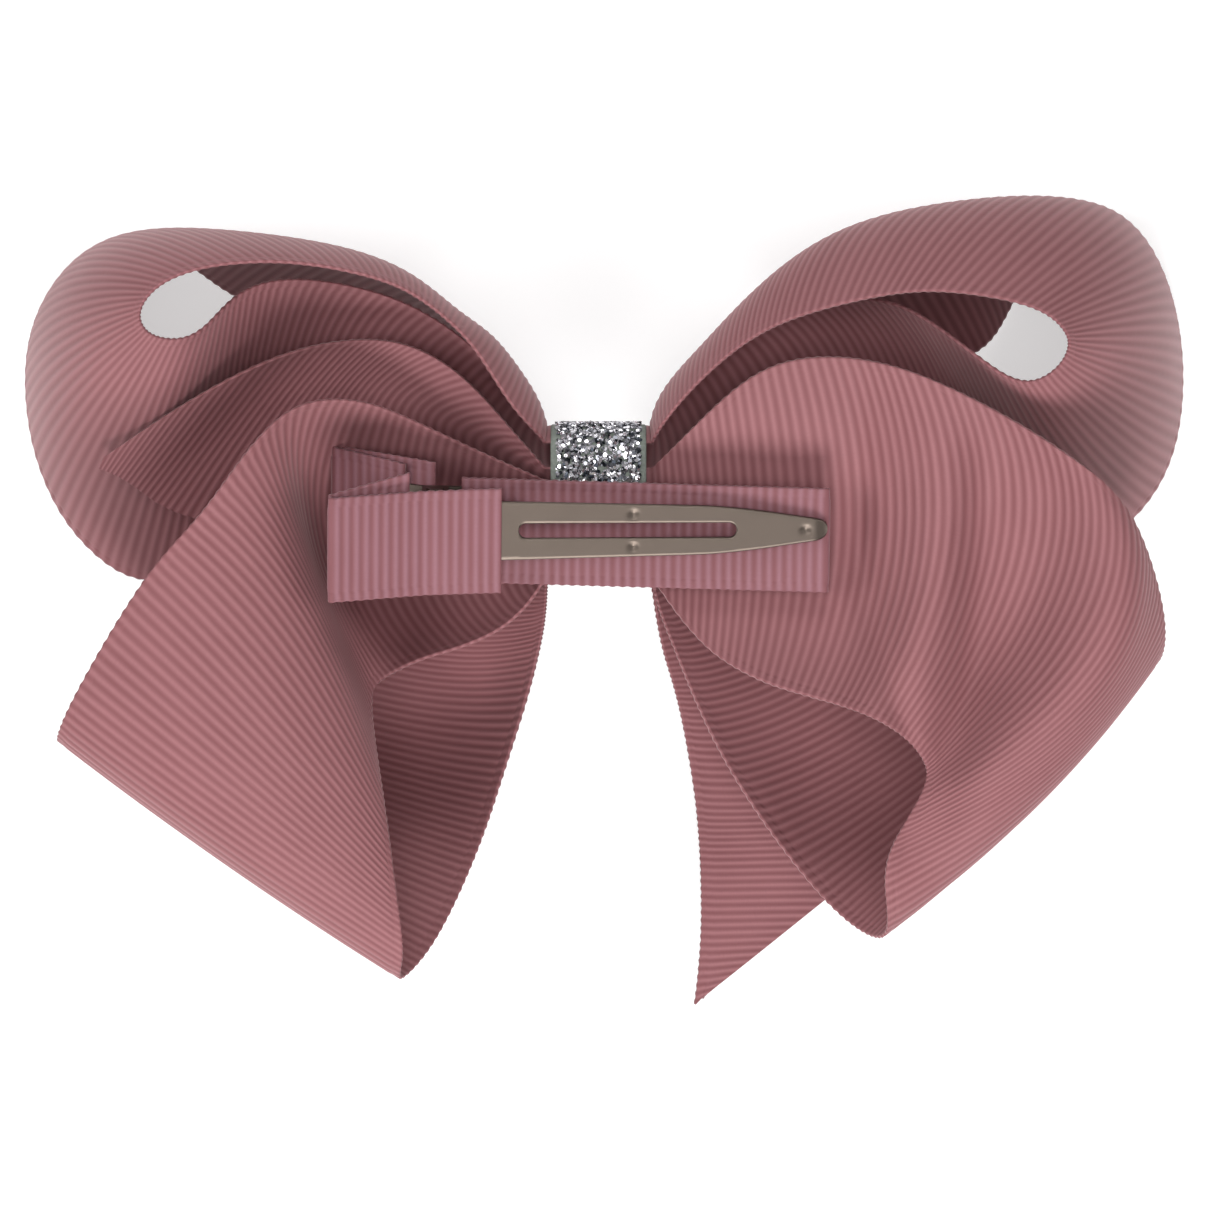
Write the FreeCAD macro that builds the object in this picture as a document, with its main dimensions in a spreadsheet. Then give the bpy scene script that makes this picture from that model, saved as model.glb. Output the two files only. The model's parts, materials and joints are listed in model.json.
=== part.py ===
import FreeCAD, Part
import math
import os
import Sketcher

# A boutique hair bow lying on its petals with its clip upwards: +X to the right, +Y towards the top
# of the bow, +Z up. The origin is on the resting plane, at the middle of the outline. Millimetres.

SIZES = [
    ("ribbon_thick", 0.5, "grosgrain ribbon, thickness"),
    ("knot_x", -0.65, "knot centre, across the bow"),
    ("knot_y", 10.1, "knot centre, up the bow"),
    ("knot_z", 20.9, "knot centre, above the resting plane"),
    ("core_wide", 10.0, "pleated core along X"),
    ("core_tall", 13.6, "pleated core along Y"),
    ("core_deep", 11.4, "pleated core along Z"),
    ("core_round", 3.0, "corner radius of the pleated core"),
    ("thread_thick", 0.4, "gathering thread"),
    ("thread_pitch", 1.2, "distance between turns of the thread"),
    ("band_wide", 9.5, "glitter band along X"),
    ("band_thick", 0.75, "glitter band, thickness"),
    ("clip_x", -16.8, "hinge axis of the clip, across the bow"),
    ("clip_y", 7.5, "hinge axis of the clip, up the bow"),
    ("clip_z", 31.6, "hinge axis of the clip, above the resting plane"),
    ("clip_roll", 13.0, "roll of the clip about its own length, degrees"),
    ("clip_yaw", -0.6, "turn of the clip in the plane of the bow, degrees"),
    ("metal", 0.5, "sheet steel of the clip"),
    ("arm_long", 38.8, "hinge axis to the tip of the upper arm"),
    ("arm_wide", 5.9, "upper arm, width where it leaves its wrap"),
    ("arm_waist", 4.8, "upper arm, width where the tip taper starts"),
    ("arm_taper_at", 31.5, "hinge axis to the start of the tip taper"),
    ("tip_wide", 2.2, "upper arm, width at the tip"),
    ("slot_start", 8.3, "hinge axis to the slot"),
    ("slot_end", 29.8, "hinge axis to the end of the slot"),
    ("slot_wide", 1.5, "slot, width"),
    ("handle_long", 10.0, "hinge axis to the end of either handle"),
    ("upper_knee_z", 1.9, "upper arm at its knee, above the hinge axis"),
    ("upper_rear_z", 4.6, "upper handle end, above the hinge axis"),
    ("upper_front_z", -0.75, "upper arm before its lip, above the hinge axis"),
    ("lip_drop", 0.33, "lip of the tip below the arm"),
    ("lip_long", 1.4, "lip of the tip, length"),
    ("lower_z", -2.05, "lower arm, above the hinge axis"),
    ("lower_rear_z", -6.7, "lower handle end, above the hinge axis"),
    ("lower_long", 38.6, "hinge axis to the end of the lower arm"),
    ("lower_wide", 7.4, "lower arm, width"),
    ("knee_back", 1.0, "knees of both arms behind the hinge axis"),
    ("ear_high", 1.1, "ears, past the hinge axis"),
    ("ear_half", 1.3, "ears, half their length along the clip"),
    ("pin_dia", 1.2, "hinge pin, diameter"),
    ("pin_fit", 0.06, "running clearance round the pin, radial"),
    ("pin_head", 1.8, "hinge pin heads, diameter"),
    ("pin_head_thick", 0.3, "hinge pin heads, thickness"),
    ("spring_wire", 0.4, "spring wire"),
    ("spring_out", 2.4, "spring coil, outer diameter"),
    ("spring_wide", 4.0, "spring coil, length"),
    ("spring_leg", 2.4, "spring legs, length"),
    ("spring_leg_dia", 0.36, "spring legs, diameter"),
    ("spring_lean", 24.0, "fall of the spring legs behind the hinge, degrees"),
    ("wrap_wide", 10.4, "narrow grosgrain ribbon round the clip, width"),
    ("wrap_thick", 0.42, "narrow grosgrain ribbon, thickness"),
    ("wrap_gap", 0.03, "glue line between the ribbon and the metal"),
    ("wrap_aside", 0.95, "upper wrap and lining, from the clip's middle towards its left side"),
    ("wrap_front", 6.6, "upper wrap, from the hinge axis towards the tip"),
    ("wrap_under", -3.0, "wraps under and over the handles, their front ends"),
    ("lining_start", 2.6, "lining, from the hinge axis"),
    ("lining_end", 39.3, "lining, its fold past the end of the lower arm"),
    ("pad_long", 9.0, "glue pad along the clip"),
    ("pad_wide", 8.0, "glue pad across the clip"),
]

# Each ribbon is a row of ribs. A rib is a shallow arc through three points: its end on the selvage
# that is nearer to the clip side, its middle, and its end on the other selvage.
RIBS = {}
RIBS["upper_left_loop"] = [
    ((-6, 15.9, 26.4), (-5.9, 17.5, 22), (-5.9, 16.8, 17)),
    ((-6.6, 16.9, 27.2), (-6.3, 19.5, 22), (-6.4, 18.2, 15.5)),
    ((-8.9, 18.7, 29), (-7.9, 22.4, 22), (-8.8, 20.9, 12)),
    ((-12.3, 24.7, 31), (-11.3, 26.9, 21), (-15.5, 24.3, 6)),
    ((-15.0, 27.6, 32), (-15.6, 28.9, 20), (-22.5, 27.0, 3)),
    ((-18.5, 30.4, 33), (-21.0, 33.2, 20), (-30.5, 29.3, 0.3)),
    ((-22.5, 32.2, 33.5), (-28.5, 35.8, 20), (-38.3, 30.9, 0.3)),
    ((-30.5, 33.8, 34), (-38.0, 37.4, 20), (-44.0, 36.6, 0.3)),
    ((-38.0, 33.5, 34), (-46.0, 37.3, 20), (-51.5, 37.0, 0.3)),
    ((-42.5, 32.3, 34), (-51.0, 34.8, 20), (-56.3, 33.0, 0.3)),
    ((-45.0, 30.6, 33.5), (-54.0, 30.4, 20), (-59.0, 27.5, 0.3)),
    ((-46.2, 28.5, 33), (-54.3, 25.2, 20), (-59.3, 20.8, 0.3)),
    ((-45.5, 26.8, 33), (-53.0, 20.3, 20), (-58.0, 14.3, 2)),
    ((-44.0, 26.0, 33), (-50.3, 16.8, 19), (-55.2, 8.4, 3)),
    ((-41.5, 25.8, 33), (-46.7, 14.6, 18), (-51.2, 4.2, 4)),
    ((-39.2, 27.2, 31), (-43.4, 14.2, 17), (-47.2, 2.0, 5)),
    ((-36.5, 31.0, 28), (-38.5, 16.3, 16.5), (-41.0, 2.6, 7)),
    ((-31.5, 32.6, 26), (-34.5, 20.8, 17.5), (-34.5, 8.3, 9)),
    ((-22.5, 31.2, 24), (-27.5, 23.8, 18), (-27.5, 13.3, 11)),
    ((-15.0, 27.6, 24), (-19.5, 21.8, 19.5), (-18.5, 15.3, 13)),
    ((-8.8, 21.4, 24), (-11.6, 18.6, 20), (-11.5, 14.6, 15)),
    ((-6, 16.4, 22.3), (-5.9, 14.8, 20), (-5.9, 13.4, 17)),
]
RIBS["upper_right_loop"] = [
    ((4.7, 15.9, 26.4), (4.6, 17.5, 22), (4.6, 16.8, 17)),
    ((5.1, 16.9, 27.4), (4.9, 19.5, 22), (5.1, 18.3, 15)),
    ((6.0, 18.2, 29), (6.4, 22.2, 22), (7.3, 20.9, 12)),
    ((8.5, 21.3, 30.5), (10.0, 25.8, 21), (13.5, 23.8, 6)),
    ((13.5, 25.8, 32), (17.0, 32.5, 20), (24.5, 25.3, 3)),
    ((18.5, 28.3, 33), (26.0, 38.0, 19), (38.5, 23.8, 2)),
    ((26.5, 30.3, 34), (35.0, 40.2, 20), (41.2, 30.6, 0.3)),
    ((32.5, 31.0, 34), (43.0, 40.8, 20), (45.8, 37.5, 0.3)),
    ((39.5, 30.0, 34), (49.0, 38.7, 20), (51.0, 40.4, 0.3)),
    ((43.5, 28.8, 34), (52.5, 34.6, 20), (55.8, 37.0, 0.3)),
    ((45.5, 26.8, 34), (54.3, 29.4, 20), (58.4, 30.2, 0.3)),
    ((45.9, 25.3, 34), (54.2, 23.8, 20), (59.2, 23.0, 0.3)),
    ((45.0, 23.3, 33.5), (52.3, 18.2, 20), (58.3, 15.6, 2)),
    ((42.5, 21.5, 33), (49.3, 14.2, 20), (55.4, 10.0, 3)),
    ((39.5, 22.0, 32), (45.3, 12.6, 18), (50.5, 5.8, 4)),
    ((34.6, 26.2, 30), (40.0, 14.3, 16.5), (43.5, 4.5, 5)),
    ((28.8, 30.3, 27), (34.8, 20.8, 16.5), (36.0, 8.3, 6)),
    ((22.8, 30.4, 24), (28.0, 22.8, 17), (28.0, 12.3, 8)),
    ((16.8, 28.3, 24), (21.0, 22.3, 18), (19.8, 14.5, 11)),
    ((10.7, 25.2, 24), (13.4, 20.5, 20), (13.3, 15.3, 13)),
    ((6.4, 20.6, 24), (8.2, 17.7, 20), (8.8, 14.4, 15)),
    ((4.7, 16.4, 22.3), (4.6, 14.6, 20), (4.6, 12.9, 17)),
]
RIBS["left_tail"] = [
    ((-6, 13.4, 26.4), (-6.1, 12.3, 24.8), (-6, 11.0, 23)),
    ((-8.9, 16.6, 27.2), (-13.0, 16.4, 24.6), (-9.0, 12.6, 22.4)),
    ((-13.1, 22.0, 27.4), (-18.5, 18.5, 23.2), (-14.5, 12.6, 20)),
    ((-18.5, 25.5, 27.4), (-25.0, 19.3, 21.6), (-23.5, 11.3, 17)),
    ((-23.5, 26.4, 27), (-31.0, 17.8, 21), (-36.0, 7.3, 16.2)),
    ((-30.5, 25.4, 26), (-37.0, 17.3, 20.6), (-43.5, 8.9, 17.6)),
    ((-37.5, 22.3, 26.8), (-41.9, 16.7, 22.5), (-46.3, 11.1, 19)),
    ((-44.5, 18.3, 24.0), (-46.6, 15.6, 21.8), (-48.7, 12.9, 19.6)),
    ((-50.2, 14.5, 19.8), (-50.4, 14.0, 19.5), (-50.6, 13.5, 19.2)),
]
RIBS["lower_left_loop"] = [
    ((-6, 12.2, 26.0), (-6, 7.0, 25.0), (-5.9, 2.6, 26.0)),
    ((-10.5, 14.0, 27.6), (-11.0, 4.3, 21), (-8.0, -1.2, 25)),
    ((-16.5, 16.8, 30), (-17.5, 4.3, 18), (-12.5, -4.0, 24)),
    ((-20.5, 18.7, 31), (-22.5, 4.3, 16), (-17.5, -5.2, 23)),
    ((-23.5, 19.8, 32), (-27.0, 5.3, 17), (-20.5, -6.5, 22)),
    ((-27.5, 20.2, 33.5), (-29.8, 8.0, 24), (-23.0, -8.0, 22)),
    ((-31.5, 19.0, 35), (-30.2, 7.5, 28), (-23.5, -9.5, 23)),
    ((-35.5, 14.6, 36), (-29.5, 3.3, 30), (-23.0, -13.5, 26)),
    ((-39.5, 8.6, 36), (-29.3, -2.2, 33), (-22.2, -18.0, 30)),
    ((-44.5, 3.8, 35.5), (-33.0, -9.0, 36), (-21.2, -24.5, 32)),
    ((-50.0, -5.2, 34.5), (-36.5, -16.7, 36.5), (-20.4, -30.5, 32.5)),
    ((-53.5, -11.5, 32.5), (-37.5, -23.2, 35), (-19.7, -35.0, 31.5)),
    ((-54.5, -14.2, 28), (-38.0, -26.5, 28.5), (-21.0, -38.2, 27)),
    ((-53.5, -13.0, 23.5), (-36.0, -25.0, 22), (-17.7, -35.2, 22)),
    ((-50.5, -11.0, 18), (-33.0, -21.5, 16), (-14.7, -29.5, 17)),
    ((-46.5, -9.5, 11), (-29.0, -17.8, 8), (-12.0, -22.7, 13)),
    ((-41.5, -8.0, 5.5), (-25.5, -14.2, 3), (-10.3, -17.0, 11)),
    ((-35.0, -5.0, 2.5), (-21.0, -9.7, 1), (-8.0, -10.0, 11.5)),
    ((-27.0, -2.2, 3.5), (-17.0, -5.2, 4), (-6.5, -4.2, 13.5)),
    ((-17.5, 0.8, 10), (-11.5, -1.2, 12), (-5.9, -0.7, 16)),
    ((-6, 7.3, 15.9), (-6, 5.0, 16.4), (-5.9, 2.6, 17.5)),
]
RIBS["lower_right_loop"] = [
    ((4.7, 13.4, 26.0), (4.7, 7.0, 25.4), (4.7, 2.6, 26.0)),
    ((7.5, 16.0, 28.0), (8.5, 7.3, 25.4), (8.5, -3.4, 27.0)),
    ((12.7, 21.6, 30.8), (14.0, 7.3, 25.8), (13.0, -6.7, 29)),
    ((18.1, 24.2, 33), (20.5, 7.3, 25.8), (17.5, -8.5, 30)),
    ((24.5, 24.3, 33.2), (27.5, 6.3, 25.6), (22.5, -9.8, 29.6)),
    ((30.5, 22.8, 34.6), (33.0, 5.8, 33.4), (26.5, -11.2, 33.6)),
    ((36.5, 20.0, 34), (38.0, 4.3, 30), (29.5, -13.0, 32)),
    ((41.9, 17.0, 33.4), (42.5, 2.3, 28.6), (31.5, -15.2, 30.2)),
    ((47.4, 13.4, 34.4), (45.5, -1.7, 33.4), (32.1, -16.9, 30.8)),
    ((51.1, 10.1, 33.6), (48.0, -5.2, 36), (31.3, -19.2, 32)),
    ((53.3, 5.7, 32), (48.5, -8.7, 35), (29.5, -21.9, 32.2)),
    ((54.9, 0.8, 30), (46.5, -13.2, 33), (28.0, -24.7, 31.5)),
    ((55.6, -3.2, 28), (44.5, -16.7, 32), (27.5, -27.7, 31)),
    ((55.2, -6.2, 25), (42.0, -21.7, 28), (28.5, -33.2, 27)),
    ((53.5, -6.2, 19), (40.0, -20.0, 21), (26.5, -33.5, 22)),
    ((50.5, -5.7, 13.5), (37.5, -18.2, 14), (23.0, -30.9, 18)),
    ((47.0, -4.7, 10), (33.0, -17.2, 10), (19.0, -26.2, 15.5)),
    ((42.5, -3.7, 8), (28.5, -15.2, 9), (15.5, -21.4, 14.5)),
    ((36.5, -1.7, 7), (23.5, -11.7, 9), (12.0, -15.9, 15)),
    ((28.5, 0.3, 8.5), (18.5, -6.7, 11), (9.0, -9.7, 16)),
    ((19.5, 2.3, 11.5), (13.0, -2.7, 13.5), (6.9, -4.2, 17.5)),
    ((10.5, 4.9, 14.5), (8.5, 1.8, 16), (5.2, -0.2, 18.5)),
    ((4.7, 7.3, 17.0), (4.7, 5.0, 17.6), (4.7, 2.6, 18.8)),
]
RIBS["right_tail"] = [
    ((4.7, 2.6, 16.8), (4.7, 4.0, 16.2), (4.7, 5.6, 15.8)),
    ((5.4, -3.4, 14.5), (9.5, -1.7, 12), (14.0, 0.3, 9.8)),
    ((6.7, -7.2, 12), (13.5, -5.2, 8.5), (22.5, -1.7, 6)),
    ((7.7, -11.0, 10), (18.5, -9.7, 5.5), (31.5, -4.7, 3)),
    ((8.6, -15.7, 7.5), (21.5, -14.7, 3), (38.0, -9.7, 1)),
    ((9.3, -20.2, 5.5), (22.5, -19.7, 2), (40.0, -16.2, 0.5)),
    ((9.7, -24.7, 4), (19.5, -24.5, 1.4), (30.0, -24.3, 0.5)),
    ((9.9, -29.4, 2.6), (16.5, -29.4, 1.0), (23.6, -29.4, 0.5)),
    ((9.9, -35.5, 1.2), (13.0, -35.4, 0.6), (16.3, -35.3, 0.4)),
    ((9.2, -41.0, 0.4), (9.5, -40.7, 0.3), (10.0, -40.3, 0.3)),
]
ALONG = 3  # degree of the ribbons' skins along their length


def sizes_sheet(doc):
    sheet = doc.addObject("Spreadsheet::Sheet", "sizes")
    for row, (alias, value, note) in enumerate(SIZES, start=1):
        sheet.set(f"A{row}", note)
        sheet.set(f"B{row}", str(value))
        sheet.setAlias(f"B{row}", alias)
    doc.recompute()
    return sheet


def value(sheet, expression):
    return float(sheet.evalExpression(expression))


def bind(obj, **expressions):
    for name, expression in expressions.items():
        obj.setExpression(name, expression)


# ---------------------------------------------------------------- ribbons

def rib_poles(rib):
    """The three poles of the arc that passes through a rib's middle point."""
    near, middle, far = (FreeCAD.Vector(*point) for point in rib)
    return [near, middle * 2 - (near + far) / 2, far]


def skin(rows):
    """A surface over rows of poles: cubic along the ribbon, and of full degree across it."""
    spans = len(rows) - ALONG
    across = len(rows[0]) - 1
    ends = ALONG + 1
    surface = Part.BSplineSurface()
    surface.buildFromPolesMultsKnots(
        rows, [ends] + [1] * (spans - 1) + [ends], [across + 1, across + 1],
        list(range(spans + 1)), [0, 1], False, False, ALONG, across,
    )
    return surface


def moved_off(middle, rows, distance):
    """The middle skin's poles moved along its normal, each at its own place on the skin."""
    spans = len(rows) - ALONG
    knots = [0] * ALONG + list(range(spans + 1)) + [spans] * ALONG
    moved = []
    for i, row in enumerate(rows):
        along = sum(knots[i + 1:i + 1 + ALONG]) / ALONG
        moved.append([
            pole + middle.normal(along, j / (len(row) - 1)) * distance
            for j, pole in enumerate(row)
        ])
    return moved


def ribbon(doc, sheet, name):
    """A strip of ribbon as a closed solid: two skins either side of its ribs, and their rims."""
    half = value(sheet, "sizes.ribbon_thick") / 2
    rows = [rib_poles(rib) for rib in RIBS[name]]
    middle = skin(rows)
    upper, lower = (moved_off(middle, rows, side) for side in (half, -half))
    selvages = [skin([[a[j], b[j]] for a, b in zip(upper, lower)]) for j in (0, -1)]
    ends = [end_face(upper[i], lower[i]) for i in (0, -1)]
    faces = [surface.toShape() for surface in [skin(upper), skin(lower)] + selvages + ends]
    shell = Part.makeShell(faces)
    shell.sewShape()
    solid = Part.Solid(shell)
    if solid.Volume < 0:
        solid.reverse()
    feature = doc.addObject("Part::Feature", name)
    feature.Shape = solid
    feature.Placement = FreeCAD.Placement()
    return feature


def end_face(upper_row, lower_row):
    """The strip's end, between the last rib's poles on the two skins."""
    surface = Part.BSplineSurface()
    across = len(upper_row)
    surface.buildFromPolesMultsKnots(
        [upper_row, lower_row], [2, 2], [across, across], [0, 1], [0, 1], False, False, 1, across - 1
    )
    return surface


# ---------------------------------------------------------------- knot

def rounded_block(doc, name, wide, tall, deep, rounding):
    """A block round the knot's centre with its four edges along X rounded."""
    box = doc.addObject("Part::Box", name + "_block")
    bind(box, Length=wide, Width=tall, Height=deep)
    bind(box, **{
        "Placement.Base.x": f"sizes.knot_x - ({wide}) / 2",
        "Placement.Base.y": f"sizes.knot_y - ({tall}) / 2",
        "Placement.Base.z": f"sizes.knot_z - ({deep}) / 2",
    })
    doc.recompute()
    along_x = [
        i for i, edge in enumerate(box.Shape.Edges, start=1)
        if abs(edge.tangentAt(edge.FirstParameter).x) > 0.9
    ]
    radius = value(box, rounding)
    fillet = doc.addObject("Part::Fillet", name)
    fillet.Base = box
    fillet.Edges = [(i, radius, radius) for i in along_x]
    return fillet


def ring_round_core(doc, name, wide, inside, thick):
    """A band of a given thickness round the core, standing off it by `inside`."""
    outer = rounded_block(
        doc, name + "_outer", wide,
        f"sizes.core_tall + 2 * ({inside}) + 2 * ({thick})",
        f"sizes.core_deep + 2 * ({inside}) + 2 * ({thick})",
        f"sizes.core_round + ({inside}) + ({thick})",
    )
    inner = rounded_block(
        doc, name + "_inner", f"2 * ({wide})",
        f"sizes.core_tall + 2 * ({inside})",
        f"sizes.core_deep + 2 * ({inside})",
        f"sizes.core_round + ({inside})",
    )
    ring = doc.addObject("Part::Cut", name)
    ring.Base, ring.Tool = outer, inner
    return ring


def pleated_core(doc):
    return rounded_block(
        doc, "pleated_core", "sizes.core_wide", "sizes.core_tall", "sizes.core_deep", "sizes.core_round"
    )


def gathering_thread(doc):
    """Three turns of thread that pull the pleats together, side by side under the band."""
    turns = []
    for i, place in enumerate((-1, 0, 1)):
        turn = ring_round_core(doc, f"thread_turn_{i}", "sizes.thread_thick", "0", "sizes.thread_thick")
        bind(turn, **{"Placement.Base.x": f"{place} * sizes.thread_pitch"})
        turns.append(turn)
    group = doc.addObject("Part::Compound", "gathering_thread")
    group.Links = turns
    return group


def glitter_band(doc):
    return ring_round_core(
        doc, "glitter_band", "sizes.band_wide", "sizes.thread_thick", "sizes.band_thick"
    )


# ---------------------------------------------------------------- clip

def clip_placement(sheet):
    """The clip is drawn with its hinge axis along Y through its own origin, tip towards +X."""
    roll = FreeCAD.Rotation(FreeCAD.Vector(1, 0, 0), value(sheet, "sizes.clip_roll"))
    yaw = FreeCAD.Rotation(FreeCAD.Vector(0, 0, 1), value(sheet, "sizes.clip_yaw"))
    base = FreeCAD.Vector(*(value(sheet, f"sizes.clip_{axis}") for axis in "xyz"))
    return FreeCAD.Placement(base, yaw.multiply(roll))


def new_body(doc, sheet, name):
    body = doc.addObject("PartDesign::Body", name)
    body.Placement = clip_placement(sheet)
    return body


def plane_of(body, role):
    return next(f for f in body.Origin.OriginFeatures if f.Role == role)


def outline_sketch(body, sheet, name, role, outlines, circles=(), lift=None):
    """Closed outlines of straight sides, and circles, every point and radius bound to the sheet."""
    sketch = body.newObject("Sketcher::SketchObject", name)
    sketch.AttachmentSupport = (plane_of(body, role), [""])
    sketch.MapMode = "FlatFace"
    if lift:
        sketch.setExpression("AttachmentOffset.Base.z", lift)
    for outline in outlines:
        add_outline(sketch, sheet, outline)
    for x, y, radius in circles:
        add_circle(sketch, sheet, x, y, radius)
    return sketch


def hold(sketch, sheet, kind, *where_and_expression):
    *where, expression = where_and_expression
    index = sketch.addConstraint(Sketcher.Constraint(kind, *where, value(sheet, expression)))
    sketch.setExpression(f"Constraints[{index}]", expression)


def add_outline(sketch, sheet, outline):
    corners = [FreeCAD.Vector(value(sheet, x), value(sheet, y), 0) for x, y in outline]
    first = sketch.GeometryCount
    count = len(corners)
    for i in range(count):
        sketch.addGeometry(Part.LineSegment(corners[i], corners[(i + 1) % count]))
    for i in range(count):
        after = first + (i + 1) % count
        sketch.addConstraint(Sketcher.Constraint("Coincident", first + i, 2, after, 1))
    for i, (x, y) in enumerate(outline):
        hold(sketch, sheet, "DistanceX", -1, 1, first + i, 1, x)
        hold(sketch, sheet, "DistanceY", -1, 1, first + i, 1, y)


def add_circle(sketch, sheet, x, y, radius):
    centre = FreeCAD.Vector(value(sheet, x), value(sheet, y), 0)
    circle = Part.Circle(centre, FreeCAD.Vector(0, 0, 1), value(sheet, radius))
    index = sketch.addGeometry(circle)
    hold(sketch, sheet, "DistanceX", -1, 1, index, 3, x)
    hold(sketch, sheet, "DistanceY", -1, 1, index, 3, y)
    hold(sketch, sheet, "Radius", index, radius)


def pad(body, sketch, name, length):
    feature = body.newObject("PartDesign::Pad", name)
    feature.Profile = sketch
    feature.SideType = "Symmetric"
    feature.setExpression("Length", length)
    sketch.Visibility = False
    return feature


def cut_through(body, sketch, name):
    feature = body.newObject("PartDesign::Pocket", name)
    feature.Profile = sketch
    feature.SideType = "Symmetric"
    feature.Type = "ThroughAll"
    sketch.Visibility = False
    return feature


def bent_strip(line, thick):
    """The side outline of a strip that follows a line of (x, z), half its thickness either way."""
    above = [(x, f"({z}) + ({thick}) / 2") for x, z in line]
    below = [(x, f"({z}) - ({thick}) / 2") for x, z in reversed(line)]
    return above + below


UPPER_LINE = [
    ("-sizes.handle_long", "sizes.upper_rear_z"),
    ("-sizes.knee_back", "sizes.upper_knee_z"),
    ("sizes.arm_long - sizes.lip_long", "sizes.upper_front_z"),
    ("sizes.arm_long", "sizes.upper_front_z - sizes.lip_drop"),
]
LOWER_LINE = [
    ("-sizes.handle_long", "sizes.lower_rear_z"),
    ("-sizes.knee_back", "sizes.lower_z"),
    ("sizes.lower_long", "sizes.lower_z"),
]


def on_line(start, end, x):
    """The height of a straight line between two (x, z) points, at a given x, as an expression."""
    (x0, z0), (x1, z1) = start, end
    return f"({z0}) + (({z1}) - ({z0})) * (({x}) - ({x0})) / (({x1}) - ({x0}))"


def fold_round(upper, lower, outward):
    """The side outline of a ribbon laid along a plate, folded round its end and brought back.

    upper and lower list the plate's middle line, from the ribbon's ends to the fold;
    outward is the sign of X at the fold.
    """
    inside = "(sizes.metal / 2 + sizes.wrap_gap)"
    outside = "(sizes.metal / 2 + sizes.wrap_gap + sizes.wrap_thick)"
    x_end, z_end = upper[-1]
    x_inside = f"({x_end}) {outward} sizes.wrap_gap"
    x_outside = f"({x_end}) {outward} (sizes.wrap_gap + sizes.wrap_thick)"
    outer = [(x, f"({z}) + {outside}") for x, z in upper[:-1]]
    outer += [(x_outside, f"({z_end}) + {outside}"), (x_outside, f"({z_end}) - {outside}")]
    outer += [(x, f"({z}) - {outside}") for x, z in reversed(lower[:-1])]
    inner = [(x, f"({z}) - {inside}") for x, z in lower[:-1]]
    inner += [(x_inside, f"({z_end}) - {inside}"), (x_inside, f"({z_end}) + {inside}")]
    inner += [(x, f"({z}) + {inside}") for x, z in reversed(upper[:-1])]
    return outer + inner


def ears(body, sheet, name, root_z, tip_z, middle_y, hole):
    """Two upright ears with the hinge hole, one each side of the clip."""
    shape = [
        ("-sizes.ear_half", root_z),
        ("-sizes.ear_half", tip_z),
        ("sizes.ear_half", tip_z),
        ("sizes.ear_half", root_z),
    ]
    for side, sign in (("right", ""), ("left", "-")):
        lift = f"{sign}({middle_y})"
        sketch = outline_sketch(
            body, sheet, f"{name}_{side}_sketch", "XZ_Plane", [shape], [("0", "0", hole)], lift
        )
        pad(body, sketch, f"{name}_{side}", "sizes.metal")


def clip_upper_arm(doc, sheet):
    """A bent strip with a slot, a tapered nose, a small lip at the tip and two hanging ears."""
    body = new_body(doc, sheet, "clip_upper_arm")
    side = outline_sketch(
        body, sheet, "upper_side", "XZ_Plane", [bent_strip(UPPER_LINE, "sizes.metal")]
    )
    pad(body, side, "upper_strip", "sizes.arm_wide")
    nose = [
        [
            ("sizes.wrap_front", f"{sign}sizes.arm_wide / 2"),
            ("sizes.arm_taper_at", f"{sign}sizes.arm_waist / 2"),
            ("sizes.arm_long", f"{sign}sizes.tip_wide / 2"),
            ("sizes.arm_long + 1", f"{sign}sizes.tip_wide / 2"),
            ("sizes.arm_long + 1", f"{sign}(sizes.arm_wide / 2 + 1)"),
            ("sizes.wrap_front", f"{sign}(sizes.arm_wide / 2 + 1)"),
        ]
        for sign in ("", "-")
    ]
    cut_through(body, outline_sketch(body, sheet, "nose_sides", "XY_Plane", nose), "nose_taper")
    slot = [
        ("sizes.slot_start", "-sizes.slot_wide / 2"),
        ("sizes.slot_end", "-sizes.slot_wide / 2"),
        ("sizes.slot_end", "sizes.slot_wide / 2"),
        ("sizes.slot_start", "sizes.slot_wide / 2"),
    ]
    cut_through(body, outline_sketch(body, sheet, "slot_outline", "XY_Plane", [slot]), "slot")
    doc.recompute()
    round_upright_edges(body, sheet, "slot_ends", "sizes.slot_wide / 2 - 0.01", slot_corner)
    ears(
        body, sheet, "upper_ear", "sizes.upper_knee_z - sizes.metal / 4", "-sizes.ear_high",
        "sizes.arm_wide / 2 - sizes.metal / 2", "sizes.pin_dia / 2 + sizes.pin_fit",
    )
    return body


def slot_corner(sheet, x, y):
    start, end = value(sheet, "sizes.slot_start"), value(sheet, "sizes.slot_end")
    half = value(sheet, "sizes.slot_wide") / 2
    return abs(abs(y) - half) < 0.01 and (abs(x - start) < 0.01 or abs(x - end) < 0.01)


def round_upright_edges(body, sheet, name, radius, chosen):
    """Rounds the body's edges along Z whose place `chosen` accepts."""
    tip = body.Tip
    names = []
    for i, edge in enumerate(tip.Shape.Edges, start=1):
        along = edge.tangentAt(edge.FirstParameter)
        where = edge.CenterOfMass
        if abs(along.z) > 0.9 and chosen(sheet, where.x, where.y):
            names.append(f"Edge{i}")
    fillet = body.newObject("PartDesign::Fillet", name)
    fillet.Base = (tip, names)
    fillet.setExpression("Radius", radius)
    return fillet


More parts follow.
